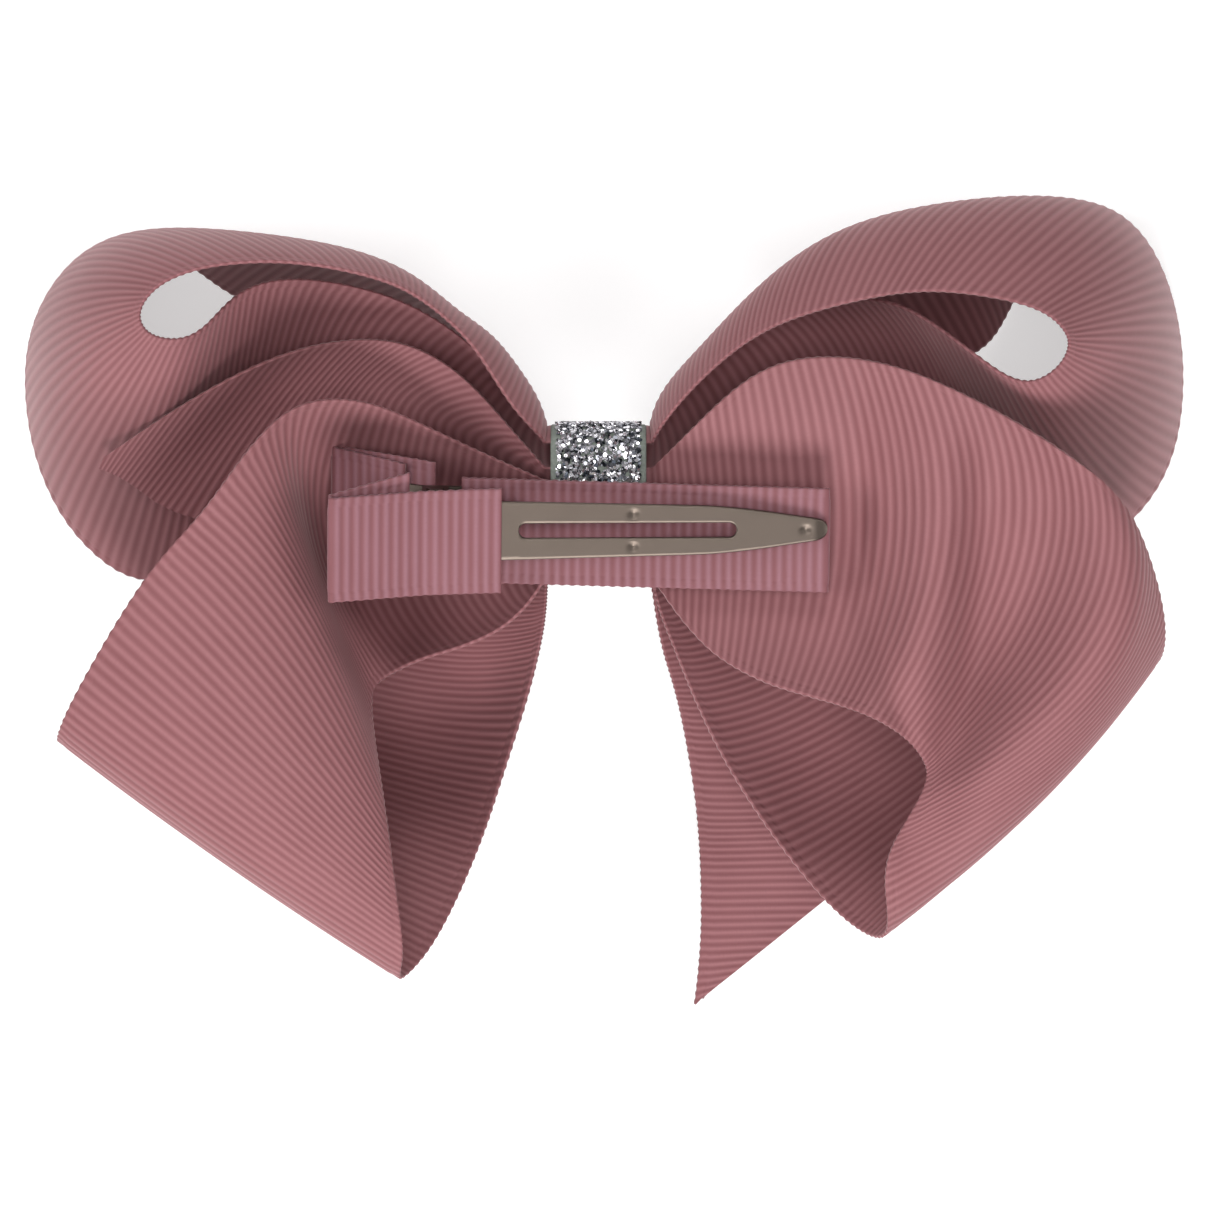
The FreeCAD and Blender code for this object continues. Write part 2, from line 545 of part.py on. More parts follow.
def clip_lower_arm(doc, sheet):
    """A bent strip with a flat nose and two upright ears."""
    body = new_body(doc, sheet, "clip_lower_arm")
    side = outline_sketch(
        body, sheet, "lower_side", "XZ_Plane", [bent_strip(LOWER_LINE, "sizes.metal")]
    )
    pad(body, side, "lower_strip", "sizes.lower_wide")
    ears(
        body, sheet, "lower_ear", "sizes.lower_z + sizes.metal / 4", "sizes.ear_high",
        "sizes.lower_wide / 2 - sizes.metal / 2", "sizes.pin_dia / 2",
    )
    return body


def ribbon_fold(doc, sheet, name, upper, lower, outward, aside=None):
    body = new_body(doc, sheet, name)
    outline = fold_round(upper, lower, outward)
    sketch = outline_sketch(body, sheet, name + "_side", "XZ_Plane", [outline], lift=aside)
    pad(body, sketch, name + "_strip", "sizes.wrap_wide")
    return body


def upper_handle_wrap(doc, sheet):
    rear, knee, front = UPPER_LINE[:3]
    cut_end = ("sizes.wrap_front", on_line(knee, front, "sizes.wrap_front"))
    under_end = ("sizes.wrap_under", on_line(rear, knee, "sizes.wrap_under"))
    return ribbon_fold(
        doc, sheet, "upper_handle_wrap", [cut_end, knee, rear], [under_end, rear], "-",
        "sizes.wrap_aside",
    )


def lower_handle_wrap(doc, sheet):
    rear, knee = LOWER_LINE[:2]
    over_end = ("sizes.wrap_under", on_line(rear, knee, "sizes.wrap_under"))
    under_end = ("0", "sizes.lower_z")
    return ribbon_fold(
        doc, sheet, "lower_handle_wrap", [over_end, rear], [under_end, knee, rear], "-"
    )


def jaw_lining(doc, sheet):
    start = ("sizes.lining_start", "sizes.lower_z")
    end = LOWER_LINE[-1]
    return ribbon_fold(
        doc, sheet, "jaw_lining", [start, end], [start, end], "+", "sizes.wrap_aside"
    )


def hinge_pin(doc, sheet):
    """A plain pin with a flat head each end, across the clip."""
    body = new_body(doc, sheet, "hinge_pin")
    half = "(sizes.lower_wide / 2)"
    head_end = f"({half} + sizes.pin_head_thick)"
    outline = [
        ("0", f"-{head_end}"),
        ("sizes.pin_head / 2", f"-{head_end}"),
        ("sizes.pin_head / 2", f"-{half}"),
        ("sizes.pin_dia / 2", f"-{half}"),
        ("sizes.pin_dia / 2", half),
        ("sizes.pin_head / 2", half),
        ("sizes.pin_head / 2", head_end),
        ("0", head_end),
    ]
    sketch = outline_sketch(body, sheet, "pin_half", "XY_Plane", [outline])
    turned = body.newObject("PartDesign::Revolution", "pin_turned")
    turned.Profile = sketch
    turned.ReferenceAxis = (sketch, ["V_Axis"])
    turned.Angle = 360
    sketch.Visibility = False
    return body


def torsion_spring(doc, sheet):
    """The closed coil as a sleeve round the pin, with a straight leg over each handle's knee."""
    wide = value(sheet, "sizes.spring_wide")
    outer = value(sheet, "sizes.spring_out") / 2
    wire = value(sheet, "sizes.spring_wire")
    leg = value(sheet, "sizes.spring_leg")
    leg_dia = value(sheet, "sizes.spring_leg_dia")
    fall = math.radians(value(sheet, "sizes.spring_lean"))
    along_y = FreeCAD.Vector(0, 1, 0)
    start = along_y * (-wide / 2)
    sleeve = Part.makeCylinder(outer, wide, start, along_y)
    shape = sleeve.cut(Part.makeCylinder(outer - wire, wide, start, along_y))
    backwards = FreeCAD.Vector(-math.cos(fall), 0, -math.sin(fall))
    to_side = FreeCAD.Vector(-math.sin(fall), 0, math.cos(fall))
    for side in (-1, 1):
        foot = along_y * (side * (wide / 2 - wire)) + to_side * (side * (outer - wire / 2))
        shape = shape.fuse(Part.makeCylinder(leg_dia / 2, leg, foot, backwards))
    feature = doc.addObject("Part::Feature", "torsion_spring")
    feature.Shape = shape.removeSplitter()
    feature.Placement = clip_placement(sheet)
    return feature


def glue_pad(doc, sheet):
    """The set glue between the knot's band and the underside of the clip, a thin wedge."""
    block = doc.addObject("Part::Box", "glue_block")
    bind(block, Length="sizes.pad_long", Width="sizes.pad_wide", Height="sizes.wrap_wide / 3")
    bind(block, **{
        "Placement.Base.x": "sizes.knot_x - sizes.pad_long / 2",
        "Placement.Base.y": "sizes.clip_y - sizes.pad_wide / 2",
        "Placement.Base.z": "sizes.knot_z + sizes.core_deep / 2 + sizes.thread_thick + sizes.band_thick",
    })
    above = doc.addObject("Part::Box", "clip_underside")
    bind(above, Length="2 * sizes.arm_long", Width="2 * sizes.wrap_wide", Height="sizes.wrap_wide")
    drop = value(sheet, "sizes.lower_z - sizes.metal / 2 - sizes.wrap_gap - sizes.wrap_thick")
    corner = FreeCAD.Vector(0, -value(sheet, "sizes.wrap_wide"), drop)
    above.Placement = clip_placement(sheet).multiply(FreeCAD.Placement(corner, FreeCAD.Rotation()))
    wedge = doc.addObject("Part::Cut", "glue_pad")
    wedge.Base, wedge.Tool = block, above
    return wedge


# ---------------------------------------------------------------- the whole bow

def check(doc, parts):
    for obj in doc.Objects:
        if "Invalid" in obj.State or "Error" in obj.State:
            raise RuntimeError(f"{obj.Name} failed: {obj.State}")
    for part in parts:
        if part.Shape.isNull() or not part.Shape.isValid():
            raise RuntimeError(f"{part.Label} has no valid shape")
        if not part.Shape.Solids:
            raise RuntimeError(f"{part.Label} holds no solid")


def main():
    doc = FreeCAD.newDocument("hair_bow")
    sheet = sizes_sheet(doc)
    parts = [ribbon(doc, sheet, name) for name in RIBS]
    parts += [pleated_core(doc), gathering_thread(doc), glitter_band(doc), glue_pad(doc, sheet)]
    parts += [clip_lower_arm(doc, sheet), clip_upper_arm(doc, sheet), hinge_pin(doc, sheet)]
    parts += [torsion_spring(doc, sheet), jaw_lining(doc, sheet)]
    parts += [lower_handle_wrap(doc, sheet), upper_handle_wrap(doc, sheet)]
    doc.recompute()
    for part in parts:
        part.Label = part.Name
    check(doc, parts)
    os.makedirs("parts", exist_ok=True)
    for part in parts:
        part.Shape.exportStep(f"parts/{part.Label}.step")
        box = part.Shape.BoundBox
        print(f"{part.Label}: {part.Shape.Volume:.1f} mm3, {len(part.Shape.Solids)} solid(s), {box}")


main()
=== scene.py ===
import json
import math

import bmesh
import bpy
import numpy as np
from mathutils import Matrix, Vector


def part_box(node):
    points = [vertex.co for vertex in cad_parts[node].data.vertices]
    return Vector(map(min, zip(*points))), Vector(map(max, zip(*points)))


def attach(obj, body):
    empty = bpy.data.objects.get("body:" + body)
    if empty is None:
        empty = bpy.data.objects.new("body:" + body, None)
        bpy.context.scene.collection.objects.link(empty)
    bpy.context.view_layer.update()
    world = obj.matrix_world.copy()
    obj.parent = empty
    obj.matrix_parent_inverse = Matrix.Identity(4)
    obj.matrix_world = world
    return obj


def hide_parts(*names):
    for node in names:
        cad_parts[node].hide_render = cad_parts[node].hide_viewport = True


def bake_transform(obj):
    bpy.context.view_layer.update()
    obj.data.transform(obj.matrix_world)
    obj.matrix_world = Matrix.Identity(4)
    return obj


# A hair bow lying on its front, clip side up. Sizes are in millimetres; MM turns them into metres.
MM = 0.001

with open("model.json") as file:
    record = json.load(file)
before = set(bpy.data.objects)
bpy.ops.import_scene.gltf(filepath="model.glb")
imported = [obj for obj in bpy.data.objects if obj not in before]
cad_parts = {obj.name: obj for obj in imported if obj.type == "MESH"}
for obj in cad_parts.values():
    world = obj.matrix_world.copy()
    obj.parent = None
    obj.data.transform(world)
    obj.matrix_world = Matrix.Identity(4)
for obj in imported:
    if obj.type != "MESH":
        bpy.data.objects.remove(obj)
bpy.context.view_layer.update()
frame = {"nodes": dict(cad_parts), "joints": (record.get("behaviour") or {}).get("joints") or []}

# ------------ sizes

RIB_PITCH = 1.0        # one rib of the grosgrain every millimetre along the ribbon
ROWS_PER_RIB = 6
RIBBON_HALF = 0.14     # half the cloth's thickness between its ribs
RIB_HIGH = 0.08        # how far a rib stands out of either face
RIB_SHARP = 2.2        # above 1, ribs are narrower than the grooves between them
PICOT = 0.14           # how far the weft's turns stand out of the selvage
SELVAGE = 0.95         # width of the flat woven edge
FADE = 0.35            # width over which the ribs rise beside the selvage
TURN_HIGH = 0.6        # height of the weft's turns on the selvage, as a share of a rib
SEAM_HALF, SEAM_DEEP = 0.22, 0.5    # groove between the selvage and the ribs; its depth is a share of a rib
EDGE_PLACES = (0, 0.2, 0.45, 0.7, 0.85, 0.97, 1.15, 1.5)    # mesh columns near a selvage, from it
WIDE_STEP, NARROW_STEP = 1.5, 0.9    # distance between the mesh columns farther in
WIDE = 38.0            # nominal width of the wide ribbon
NARROW = 10.4          # width of the narrow ribbon round the clip
TUCK = 1.5             # how far the ribbons run on into the knot

# Each ribbon is a row of ribs. A rib is a shallow arc through three points: its end on the selvage
# that is nearer to the clip side, its middle, and its end on the other selvage.
RIBS = {}
RIBS["upper_left_loop"] = [
    ((-6, 15.9, 26.4), (-5.9, 17.5, 22), (-5.9, 16.8, 17)),
    ((-6.6, 16.9, 27.2), (-6.3, 19.5, 22), (-6.4, 18.2, 15.5)),
    ((-8.9, 18.7, 29), (-7.9, 22.4, 22), (-8.8, 20.9, 12)),
    ((-12.3, 24.7, 31), (-11.3, 26.9, 21), (-15.5, 24.3, 6)),
    ((-15.0, 27.6, 32), (-15.6, 28.9, 20), (-22.5, 27.0, 3)),
    ((-18.5, 30.4, 33), (-21.0, 33.2, 20), (-30.5, 29.3, 0.3)),
    ((-22.5, 32.2, 33.5), (-28.5, 35.8, 20), (-38.3, 30.9, 0.3)),
    ((-30.5, 33.8, 34), (-38.0, 37.4, 20), (-44.0, 36.6, 0.3)),
    ((-38.0, 33.5, 34), (-46.0, 37.3, 20), (-51.5, 37.0, 0.3)),
    ((-42.5, 32.3, 34), (-51.0, 34.8, 20), (-56.3, 33.0, 0.3)),
    ((-45.0, 30.6, 33.5), (-54.0, 30.4, 20), (-59.0, 27.5, 0.3)),
    ((-46.2, 28.5, 33), (-54.3, 25.2, 20), (-59.3, 20.8, 0.3)),
    ((-45.5, 26.8, 33), (-53.0, 20.3, 20), (-58.0, 14.3, 2)),
    ((-44.0, 26.0, 33), (-50.3, 16.8, 19), (-55.2, 8.4, 3)),
    ((-41.5, 25.8, 33), (-46.7, 14.6, 18), (-51.2, 4.2, 4)),
    ((-39.2, 27.2, 31), (-43.4, 14.2, 17), (-47.2, 2.0, 5)),
    ((-36.5, 31.0, 28), (-38.5, 16.3, 16.5), (-41.0, 2.6, 7)),
    ((-31.5, 32.6, 26), (-34.5, 20.8, 17.5), (-34.5, 8.3, 9)),
    ((-22.5, 31.2, 24), (-27.5, 23.8, 18), (-27.5, 13.3, 11)),
    ((-15.0, 27.6, 24), (-19.5, 21.8, 19.5), (-18.5, 15.3, 13)),
    ((-8.8, 21.4, 24), (-11.6, 18.6, 20), (-11.5, 14.6, 15)),
    ((-6, 16.4, 22.3), (-5.9, 14.8, 20), (-5.9, 13.4, 17)),
]
RIBS["upper_right_loop"] = [
    ((4.7, 15.9, 26.4), (4.6, 17.5, 22), (4.6, 16.8, 17)),
    ((5.1, 16.9, 27.4), (4.9, 19.5, 22), (5.1, 18.3, 15)),
    ((6.0, 18.2, 29), (6.4, 22.2, 22), (7.3, 20.9, 12)),
    ((8.5, 21.3, 30.5), (10.0, 25.8, 21), (13.5, 23.8, 6)),
    ((13.5, 25.8, 32), (17.0, 32.5, 20), (24.5, 25.3, 3)),
    ((18.5, 28.3, 33), (26.0, 38.0, 19), (38.5, 23.8, 2)),
    ((26.5, 30.3, 34), (35.0, 40.2, 20), (41.2, 30.6, 0.3)),
    ((32.5, 31.0, 34), (43.0, 40.8, 20), (45.8, 37.5, 0.3)),
    ((39.5, 30.0, 34), (49.0, 38.7, 20), (51.0, 40.4, 0.3)),
    ((43.5, 28.8, 34), (52.5, 34.6, 20), (55.8, 37.0, 0.3)),
    ((45.5, 26.8, 34), (54.3, 29.4, 20), (58.4, 30.2, 0.3)),
    ((45.9, 25.3, 34), (54.2, 23.8, 20), (59.2, 23.0, 0.3)),
    ((45.0, 23.3, 33.5), (52.3, 18.2, 20), (58.3, 15.6, 2)),
    ((42.5, 21.5, 33), (49.3, 14.2, 20), (55.4, 10.0, 3)),
    ((39.5, 22.0, 32), (45.3, 12.6, 18), (50.5, 5.8, 4)),
    ((34.6, 26.2, 30), (40.0, 14.3, 16.5), (43.5, 4.5, 5)),
    ((28.8, 30.3, 27), (34.8, 20.8, 16.5), (36.0, 8.3, 6)),
    ((22.8, 30.4, 24), (28.0, 22.8, 17), (28.0, 12.3, 8)),
    ((16.8, 28.3, 24), (21.0, 22.3, 18), (19.8, 14.5, 11)),
    ((10.7, 25.2, 24), (13.4, 20.5, 20), (13.3, 15.3, 13)),
    ((6.4, 20.6, 24), (8.2, 17.7, 20), (8.8, 14.4, 15)),
    ((4.7, 16.4, 22.3), (4.6, 14.6, 20), (4.6, 12.9, 17)),
]
RIBS["left_tail"] = [
    ((-6, 13.4, 26.4), (-6.1, 12.3, 24.8), (-6, 11.0, 23)),
    ((-8.9, 16.6, 27.2), (-13.0, 16.4, 24.6), (-9.0, 12.6, 22.4)),
    ((-13.1, 22.0, 27.4), (-18.5, 18.5, 23.2), (-14.5, 12.6, 20)),
    ((-18.5, 25.5, 27.4), (-25.0, 19.3, 21.6), (-23.5, 11.3, 17)),
    ((-23.5, 26.4, 27), (-31.0, 17.8, 21), (-36.0, 7.3, 16.2)),
    ((-30.5, 25.4, 26), (-37.0, 17.3, 20.6), (-43.5, 8.9, 17.6)),
    ((-37.5, 22.3, 26.8), (-41.9, 16.7, 22.5), (-46.3, 11.1, 19)),
    ((-44.5, 18.3, 24.0), (-46.6, 15.6, 21.8), (-48.7, 12.9, 19.6)),
    ((-50.2, 14.5, 19.8), (-50.4, 14.0, 19.5), (-50.6, 13.5, 19.2)),
]
RIBS["lower_left_loop"] = [
    ((-6, 12.2, 26.0), (-6, 7.0, 25.0), (-5.9, 2.6, 26.0)),
    ((-10.5, 14.0, 27.6), (-11.0, 4.3, 21), (-8.0, -1.2, 25)),
    ((-16.5, 16.8, 30), (-17.5, 4.3, 18), (-12.5, -4.0, 24)),
    ((-20.5, 18.7, 31), (-22.5, 4.3, 16), (-17.5, -5.2, 23)),
    ((-23.5, 19.8, 32), (-27.0, 5.3, 17), (-20.5, -6.5, 22)),
    ((-27.5, 20.2, 33.5), (-29.8, 8.0, 24), (-23.0, -8.0, 22)),
    ((-31.5, 19.0, 35), (-30.2, 7.5, 28), (-23.5, -9.5, 23)),
    ((-35.5, 14.6, 36), (-29.5, 3.3, 30), (-23.0, -13.5, 26)),
    ((-39.5, 8.6, 36), (-29.3, -2.2, 33), (-22.2, -18.0, 30)),
    ((-44.5, 3.8, 35.5), (-33.0, -9.0, 36), (-21.2, -24.5, 32)),
    ((-50.0, -5.2, 34.5), (-36.5, -16.7, 36.5), (-20.4, -30.5, 32.5)),
    ((-53.5, -11.5, 32.5), (-37.5, -23.2, 35), (-19.7, -35.0, 31.5)),
    ((-54.5, -14.2, 28), (-38.0, -26.5, 28.5), (-21.0, -38.2, 27)),
    ((-53.5, -13.0, 23.5), (-36.0, -25.0, 22), (-17.7, -35.2, 22)),
    ((-50.5, -11.0, 18), (-33.0, -21.5, 16), (-14.7, -29.5, 17)),
    ((-46.5, -9.5, 11), (-29.0, -17.8, 8), (-12.0, -22.7, 13)),
    ((-41.5, -8.0, 5.5), (-25.5, -14.2, 3), (-10.3, -17.0, 11)),
    ((-35.0, -5.0, 2.5), (-21.0, -9.7, 1), (-8.0, -10.0, 11.5)),
    ((-27.0, -2.2, 3.5), (-17.0, -5.2, 4), (-6.5, -4.2, 13.5)),
    ((-17.5, 0.8, 10), (-11.5, -1.2, 12), (-5.9, -0.7, 16)),
    ((-6, 7.3, 15.9), (-6, 5.0, 16.4), (-5.9, 2.6, 17.5)),
]
RIBS["lower_right_loop"] = [
    ((4.7, 13.4, 26.0), (4.7, 7.0, 25.4), (4.7, 2.6, 26.0)),
    ((7.5, 16.0, 28.0), (8.5, 7.3, 25.4), (8.5, -3.4, 27.0)),
    ((12.7, 21.6, 30.8), (14.0, 7.3, 25.8), (13.0, -6.7, 29)),
    ((18.1, 24.2, 33), (20.5, 7.3, 25.8), (17.5, -8.5, 30)),
    ((24.5, 24.3, 33.2), (27.5, 6.3, 25.6), (22.5, -9.8, 29.6)),
    ((30.5, 22.8, 34.6), (33.0, 5.8, 33.4), (26.5, -11.2, 33.6)),
    ((36.5, 20.0, 34), (38.0, 4.3, 30), (29.5, -13.0, 32)),
    ((41.9, 17.0, 33.4), (42.5, 2.3, 28.6), (31.5, -15.2, 30.2)),
    ((47.4, 13.4, 34.4), (45.5, -1.7, 33.4), (32.1, -16.9, 30.8)),
    ((51.1, 10.1, 33.6), (48.0, -5.2, 36), (31.3, -19.2, 32)),
    ((53.3, 5.7, 32), (48.5, -8.7, 35), (29.5, -21.9, 32.2)),
    ((54.9, 0.8, 30), (46.5, -13.2, 33), (28.0, -24.7, 31.5)),
    ((55.6, -3.2, 28), (44.5, -16.7, 32), (27.5, -27.7, 31)),
    ((55.2, -6.2, 25), (42.0, -21.7, 28), (28.5, -33.2, 27)),
    ((53.5, -6.2, 19), (40.0, -20.0, 21), (26.5, -33.5, 22)),
    ((50.5, -5.7, 13.5), (37.5, -18.2, 14), (23.0, -30.9, 18)),
    ((47.0, -4.7, 10), (33.0, -17.2, 10), (19.0, -26.2, 15.5)),
    ((42.5, -3.7, 8), (28.5, -15.2, 9), (15.5, -21.4, 14.5)),
    ((36.5, -1.7, 7), (23.5, -11.7, 9), (12.0, -15.9, 15)),
    ((28.5, 0.3, 8.5), (18.5, -6.7, 11), (9.0, -9.7, 16)),
    ((19.5, 2.3, 11.5), (13.0, -2.7, 13.5), (6.9, -4.2, 17.5)),
    ((10.5, 4.9, 14.5), (8.5, 1.8, 16), (5.2, -0.2, 18.5)),
    ((4.7, 7.3, 17.0), (4.7, 5.0, 17.6), (4.7, 2.6, 18.8)),
]
RIBS["right_tail"] = [
    ((4.7, 2.6, 16.8), (4.7, 4.0, 16.2), (4.7, 5.6, 15.8)),
    ((5.4, -3.4, 14.5), (9.5, -1.7, 12), (14.0, 0.3, 9.8)),
    ((6.7, -7.2, 12), (13.5, -5.2, 8.5), (22.5, -1.7, 6)),
    ((7.7, -11.0, 10), (18.5, -9.7, 5.5), (31.5, -4.7, 3)),
    ((8.6, -15.7, 7.5), (21.5, -14.7, 3), (38.0, -9.7, 1)),
    ((9.3, -20.2, 5.5), (22.5, -19.7, 2), (40.0, -16.2, 0.5)),
    ((9.7, -24.7, 4), (19.5, -24.5, 1.4), (30.0, -24.3, 0.5)),
    ((9.9, -29.4, 2.6), (16.5, -29.4, 1.0), (23.6, -29.4, 0.5)),
    ((9.9, -35.5, 1.2), (13.0, -35.4, 0.6), (16.3, -35.3, 0.4)),
    ((9.2, -41.0, 0.4), (9.5, -40.7, 0.3), (10.0, -40.3, 0.3)),
]

# ------------ mesh work

def box_of(node):
    """Lowest and highest corner of a CAD node's box, in millimetres."""
    return (np.array(corner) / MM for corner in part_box(node))


def into_scene(name, data):
    made = bpy.data.objects.new(name, data)
    bpy.context.scene.collection.objects.link(made)
    return made


def new_piece(name, points, faces, material, body="root", smooth=True):
    """A mesh piece from points in millimetres in the object's frame, riding on a body."""
    mesh = bpy.data.meshes.new(name)
    mesh.from_pydata((np.asarray(points) * MM).tolist(), [], [list(map(int, face)) for face in faces])
    mesh.materials.append(material)
    mesh.polygons.foreach_set("use_smooth", [smooth] * len(mesh.polygons))
    mesh.update()
    piece = into_scene(name, mesh)
    if body:
        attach(piece, body)
    return piece


def tidy_normals(piece, weld=None):
    """Welds points nearer than `weld` millimetres, drops loose ones and turns every face outwards."""
    work = bmesh.new()
    work.from_mesh(piece.data)
    if weld:
        bmesh.ops.remove_doubles(work, verts=work.verts, dist=weld * MM)
    loose = [vert for vert in work.verts if not vert.link_faces]
    bmesh.ops.delete(work, geom=loose, context="VERTS")
    bmesh.ops.recalc_face_normals(work, faces=work.faces)
    work.to_mesh(piece.data)
    work.free()


def grid_quads(rows, columns, first=0, wrap=False):
    """The quads of a grid of points numbered row by row; wrap joins its last column to its first."""
    i = np.arange(rows - 1)[:, None]
    j = np.arange(columns if wrap else columns - 1)[None, :]
    after = (j + 1) % columns
    corners = [i * columns + j, (i + 1) * columns + j, (i + 1) * columns + after, i * columns + after]
    return np.stack([np.broadcast_to(c, (rows - 1, j.size)) for c in corners], -1).reshape(-1, 4) + first


def capped_faces(rings, count):
    """Faces of stacked rings of points, closed by a fan at each end to the two points after them."""
    faces = grid_quads(rings, count, wrap=True).tolist()
    last = rings * count
    pairs = [(k, (k + 1) % count) for k in range(count)]
    faces += [[a, b, last] for a, b in pairs]
    faces += [[last - count + b, last - count + a, last + 1] for a, b in pairs]
    return faces


def unit(vectors):
    return vectors / np.linalg.norm(vectors, axis=-1, keepdims=True)


def distances(points):
    """Distance of each point of a line from the line's start, along it."""
    return np.concatenate([[0], np.cumsum(np.linalg.norm(np.diff(points, axis=0), axis=1))])


def between(places, lengths, values):
    """Pairs of values read at new places along a line."""
    return np.stack([np.interp(places, lengths, values[:, k]) for k in (0, 1)], -1)


def smooth_step(low, high, x):
    t = np.clip((x - low) / (high - low), 0, 1)
    return t * t * (3 - 2 * t)


def spline_weights(count, places, degree=3):
    """The share of each pole at each place of a clamped uniform B-spline."""
    spans = count - degree
    knots = np.concatenate([np.zeros(degree), np.arange(spans + 1), np.full(degree, spans)])
    t = np.clip(places, 0, spans - 1e-9)[:, None]
    weights = ((knots[:-1] <= t) & (t < knots[1:])).astype(float)
    for d in range(1, degree + 1):
        rise = np.maximum(knots[d:-1] - knots[:-d - 1], 1e-9)
        fall = np.maximum(knots[d + 1:] - knots[1:-d], 1e-9)
        weights = (t - knots[:-d - 1]) / rise * weights[:, :-1] + (knots[d + 1:] - t) / fall * weights[:, 1:]
    return weights


def strip_points(ribs, along, across):
    """Points of a ribbon's middle surface: a cubic spline over its ribs, each a shallow arc."""
    near, middle, far = np.moveaxis(np.array(ribs, float), 1, 0)
    poles = [near, 2 * middle - (near + far) / 2, far]
    weights = spline_weights(len(ribs), along)
    a, b, c = (weights @ pole for pole in poles)
    v = np.asarray(across)[None, :, None]
    return (1 - v) ** 2 * a[:, None] + 2 * v * (1 - v) * b[:, None] + v ** 2 * c[:, None]


# ------------ grosgrain

def rib_shape(s):
    """Height of the ribs, 0 in a groove and 1 on a rib, at s pitches along the ribbon."""
    return np.abs(np.sin(math.pi * s)) ** RIB_SHARP


def grosgrain(name, middle, lengths, widths, material, body="root", plain_from=None):
    """A closed ribbon over a grid of its middle surface, ribbed on both faces.

    lengths gives each row's distance along the ribbon, and widths each point's distance from the
    ribbon's two selvages. Past the row plain_from the far edge is cut across, and has no selvage.
    """
    rows, columns = middle.shape[:2]
    along = np.gradient(middle, lengths, axis=0)
    across = np.gradient(middle, axis=1)
    normal = unit(np.cross(along, across))
    s = (lengths / RIB_PITCH)[:, None]
    edge = np.minimum(*widths)
    if plain_from is not None:
        edge[plain_from:] = widths[0][plain_from:]
    in_field = smooth_step(SELVAGE - FADE, SELVAGE, edge)
    turns = TURN_HIGH * rib_shape(s + 0.5)
    height = in_field * rib_shape(s) + (1 - in_field) * turns
    height -= SEAM_DEEP * smooth_step(SEAM_HALF, 0.0, np.abs(edge - SELVAGE))
    outwards = unit(across)
    middle = middle.copy()
    middle[:, 0] -= outwards[:, 0] * PICOT * turns
    far_turns = turns.copy()
    if plain_from is not None:
        far_turns[plain_from:] = 0
    middle[:, -1] += outwards[:, -1] * PICOT * far_turns
    lift = normal * (RIBBON_HALF + RIB_HIGH * height)[..., None]
    points = np.concatenate([(middle + lift).reshape(-1, 3), (middle - lift).reshape(-1, 3)])
    count = rows * columns
    upper = grid_quads(rows, columns)
    lower = grid_quads(rows, columns, count)[:, ::-1]
    rim = np.concatenate([
        np.arange(columns),
        np.arange(2, rows) * columns - 1,
        np.arange(count - 1, count - 1 - columns, -1),
        np.arange(rows - 2, 0, -1) * columns,
    ])
    after = np.roll(rim, -1)
    sides = np.stack([rim, after, after + count, rim + count], -1)
    piece = new_piece(name, points, np.concatenate([upper, lower, sides]), material, body)
    weave = np.stack(np.broadcast_arrays(s, edge, widths[0]), -1).reshape(-1, 3)
    layer = piece.data.attributes.new("weave", "FLOAT_VECTOR", "POINT")
    layer.data.foreach_set("vector", np.concatenate([weave, weave]).ravel())
    return piece


def columns_for(width, step):
    """Places across a ribbon, close together at its selvages, from 0 to 1."""
    edge = np.array(EDGE_PLACES) / width
    number = round((width - 2 * EDGE_PLACES[-1]) / step) + 1
    inside = np.linspace(edge[-1], 1 - edge[-1], number)[1:-1]
    return np.concatenate([edge, inside, 1 - edge[::-1]])


# Valleys in the lower right loop's upper layer: each one's line (y values, x values), depth and half
# width. They fade out along Y, and downwards along Z.
CREASES = [
    ((-24.0, -8.0, 12.0), (32.0, 36.5, 37.5), 2.4, 2.8),
    ((-12.0, -3.0, 6.0), (29.5, 27.0, 25.2), 1.1, 1.7),
]
CREASE_FADE_Y = (-30.0, -20.0, 9.0, 20.0), (0.0, 1.0, 1.0, 0.0)
CREASE_FADE_Z = (22.0, 26.0), (0.0, 1.0)


def creased(points):
    """Lowers the points along the valleys."""
    x, y, z = np.moveaxis(points, -1, 0)
    fade = np.interp(y, *CREASE_FADE_Y) * np.interp(z, *CREASE_FADE_Z)
    lowered = points.copy()
    for line_y, line_x, deep, half in CREASES:
        aside = (x - np.interp(y, line_y, line_x)) / half
        lowered[..., 2] -= deep * fade * np.exp(-aside ** 2)
    return lowered


FINE_STEPS = 1500      # places at which a ribbon's length is measured
SKIP = 7               # every SKIPth column is measured


def even_rows(ribs, across):
    """Places on the ribs' spline an even step apart, and each one's distance along the ribbon."""
    dense = np.linspace(0, len(ribs) - 3, FINE_STEPS)
    line = strip_points(ribs, dense, across[::SKIP])
    steps = np.linalg.norm(np.diff(line, axis=0), axis=2).mean(1)
    travelled = np.concatenate([[0], np.cumsum(steps)])
    count = round(travelled[-1] / RIB_PITCH * ROWS_PER_RIB)
    lengths = np.linspace(0, travelled[-1], count + 1)
    return np.interp(lengths, travelled, dense), lengths


def tucked(middle, lengths, inwards, both_ends):
    """Adds rows that run straight into the knot, at the start or at both ends."""
    tuck = np.arange(round(TUCK * ROWS_PER_RIB), 0, -1) / ROWS_PER_RIB
    parts, spans = [middle[0] + tuck[:, None, None] * inwards, middle], [lengths[0] - tuck, lengths]
    if both_ends:
        parts.append(middle[-1] + tuck[::-1, None, None] * inwards)
        spans.append(lengths[-1] + tuck[::-1])
    return np.concatenate(parts), np.concatenate(spans), len(tuck)


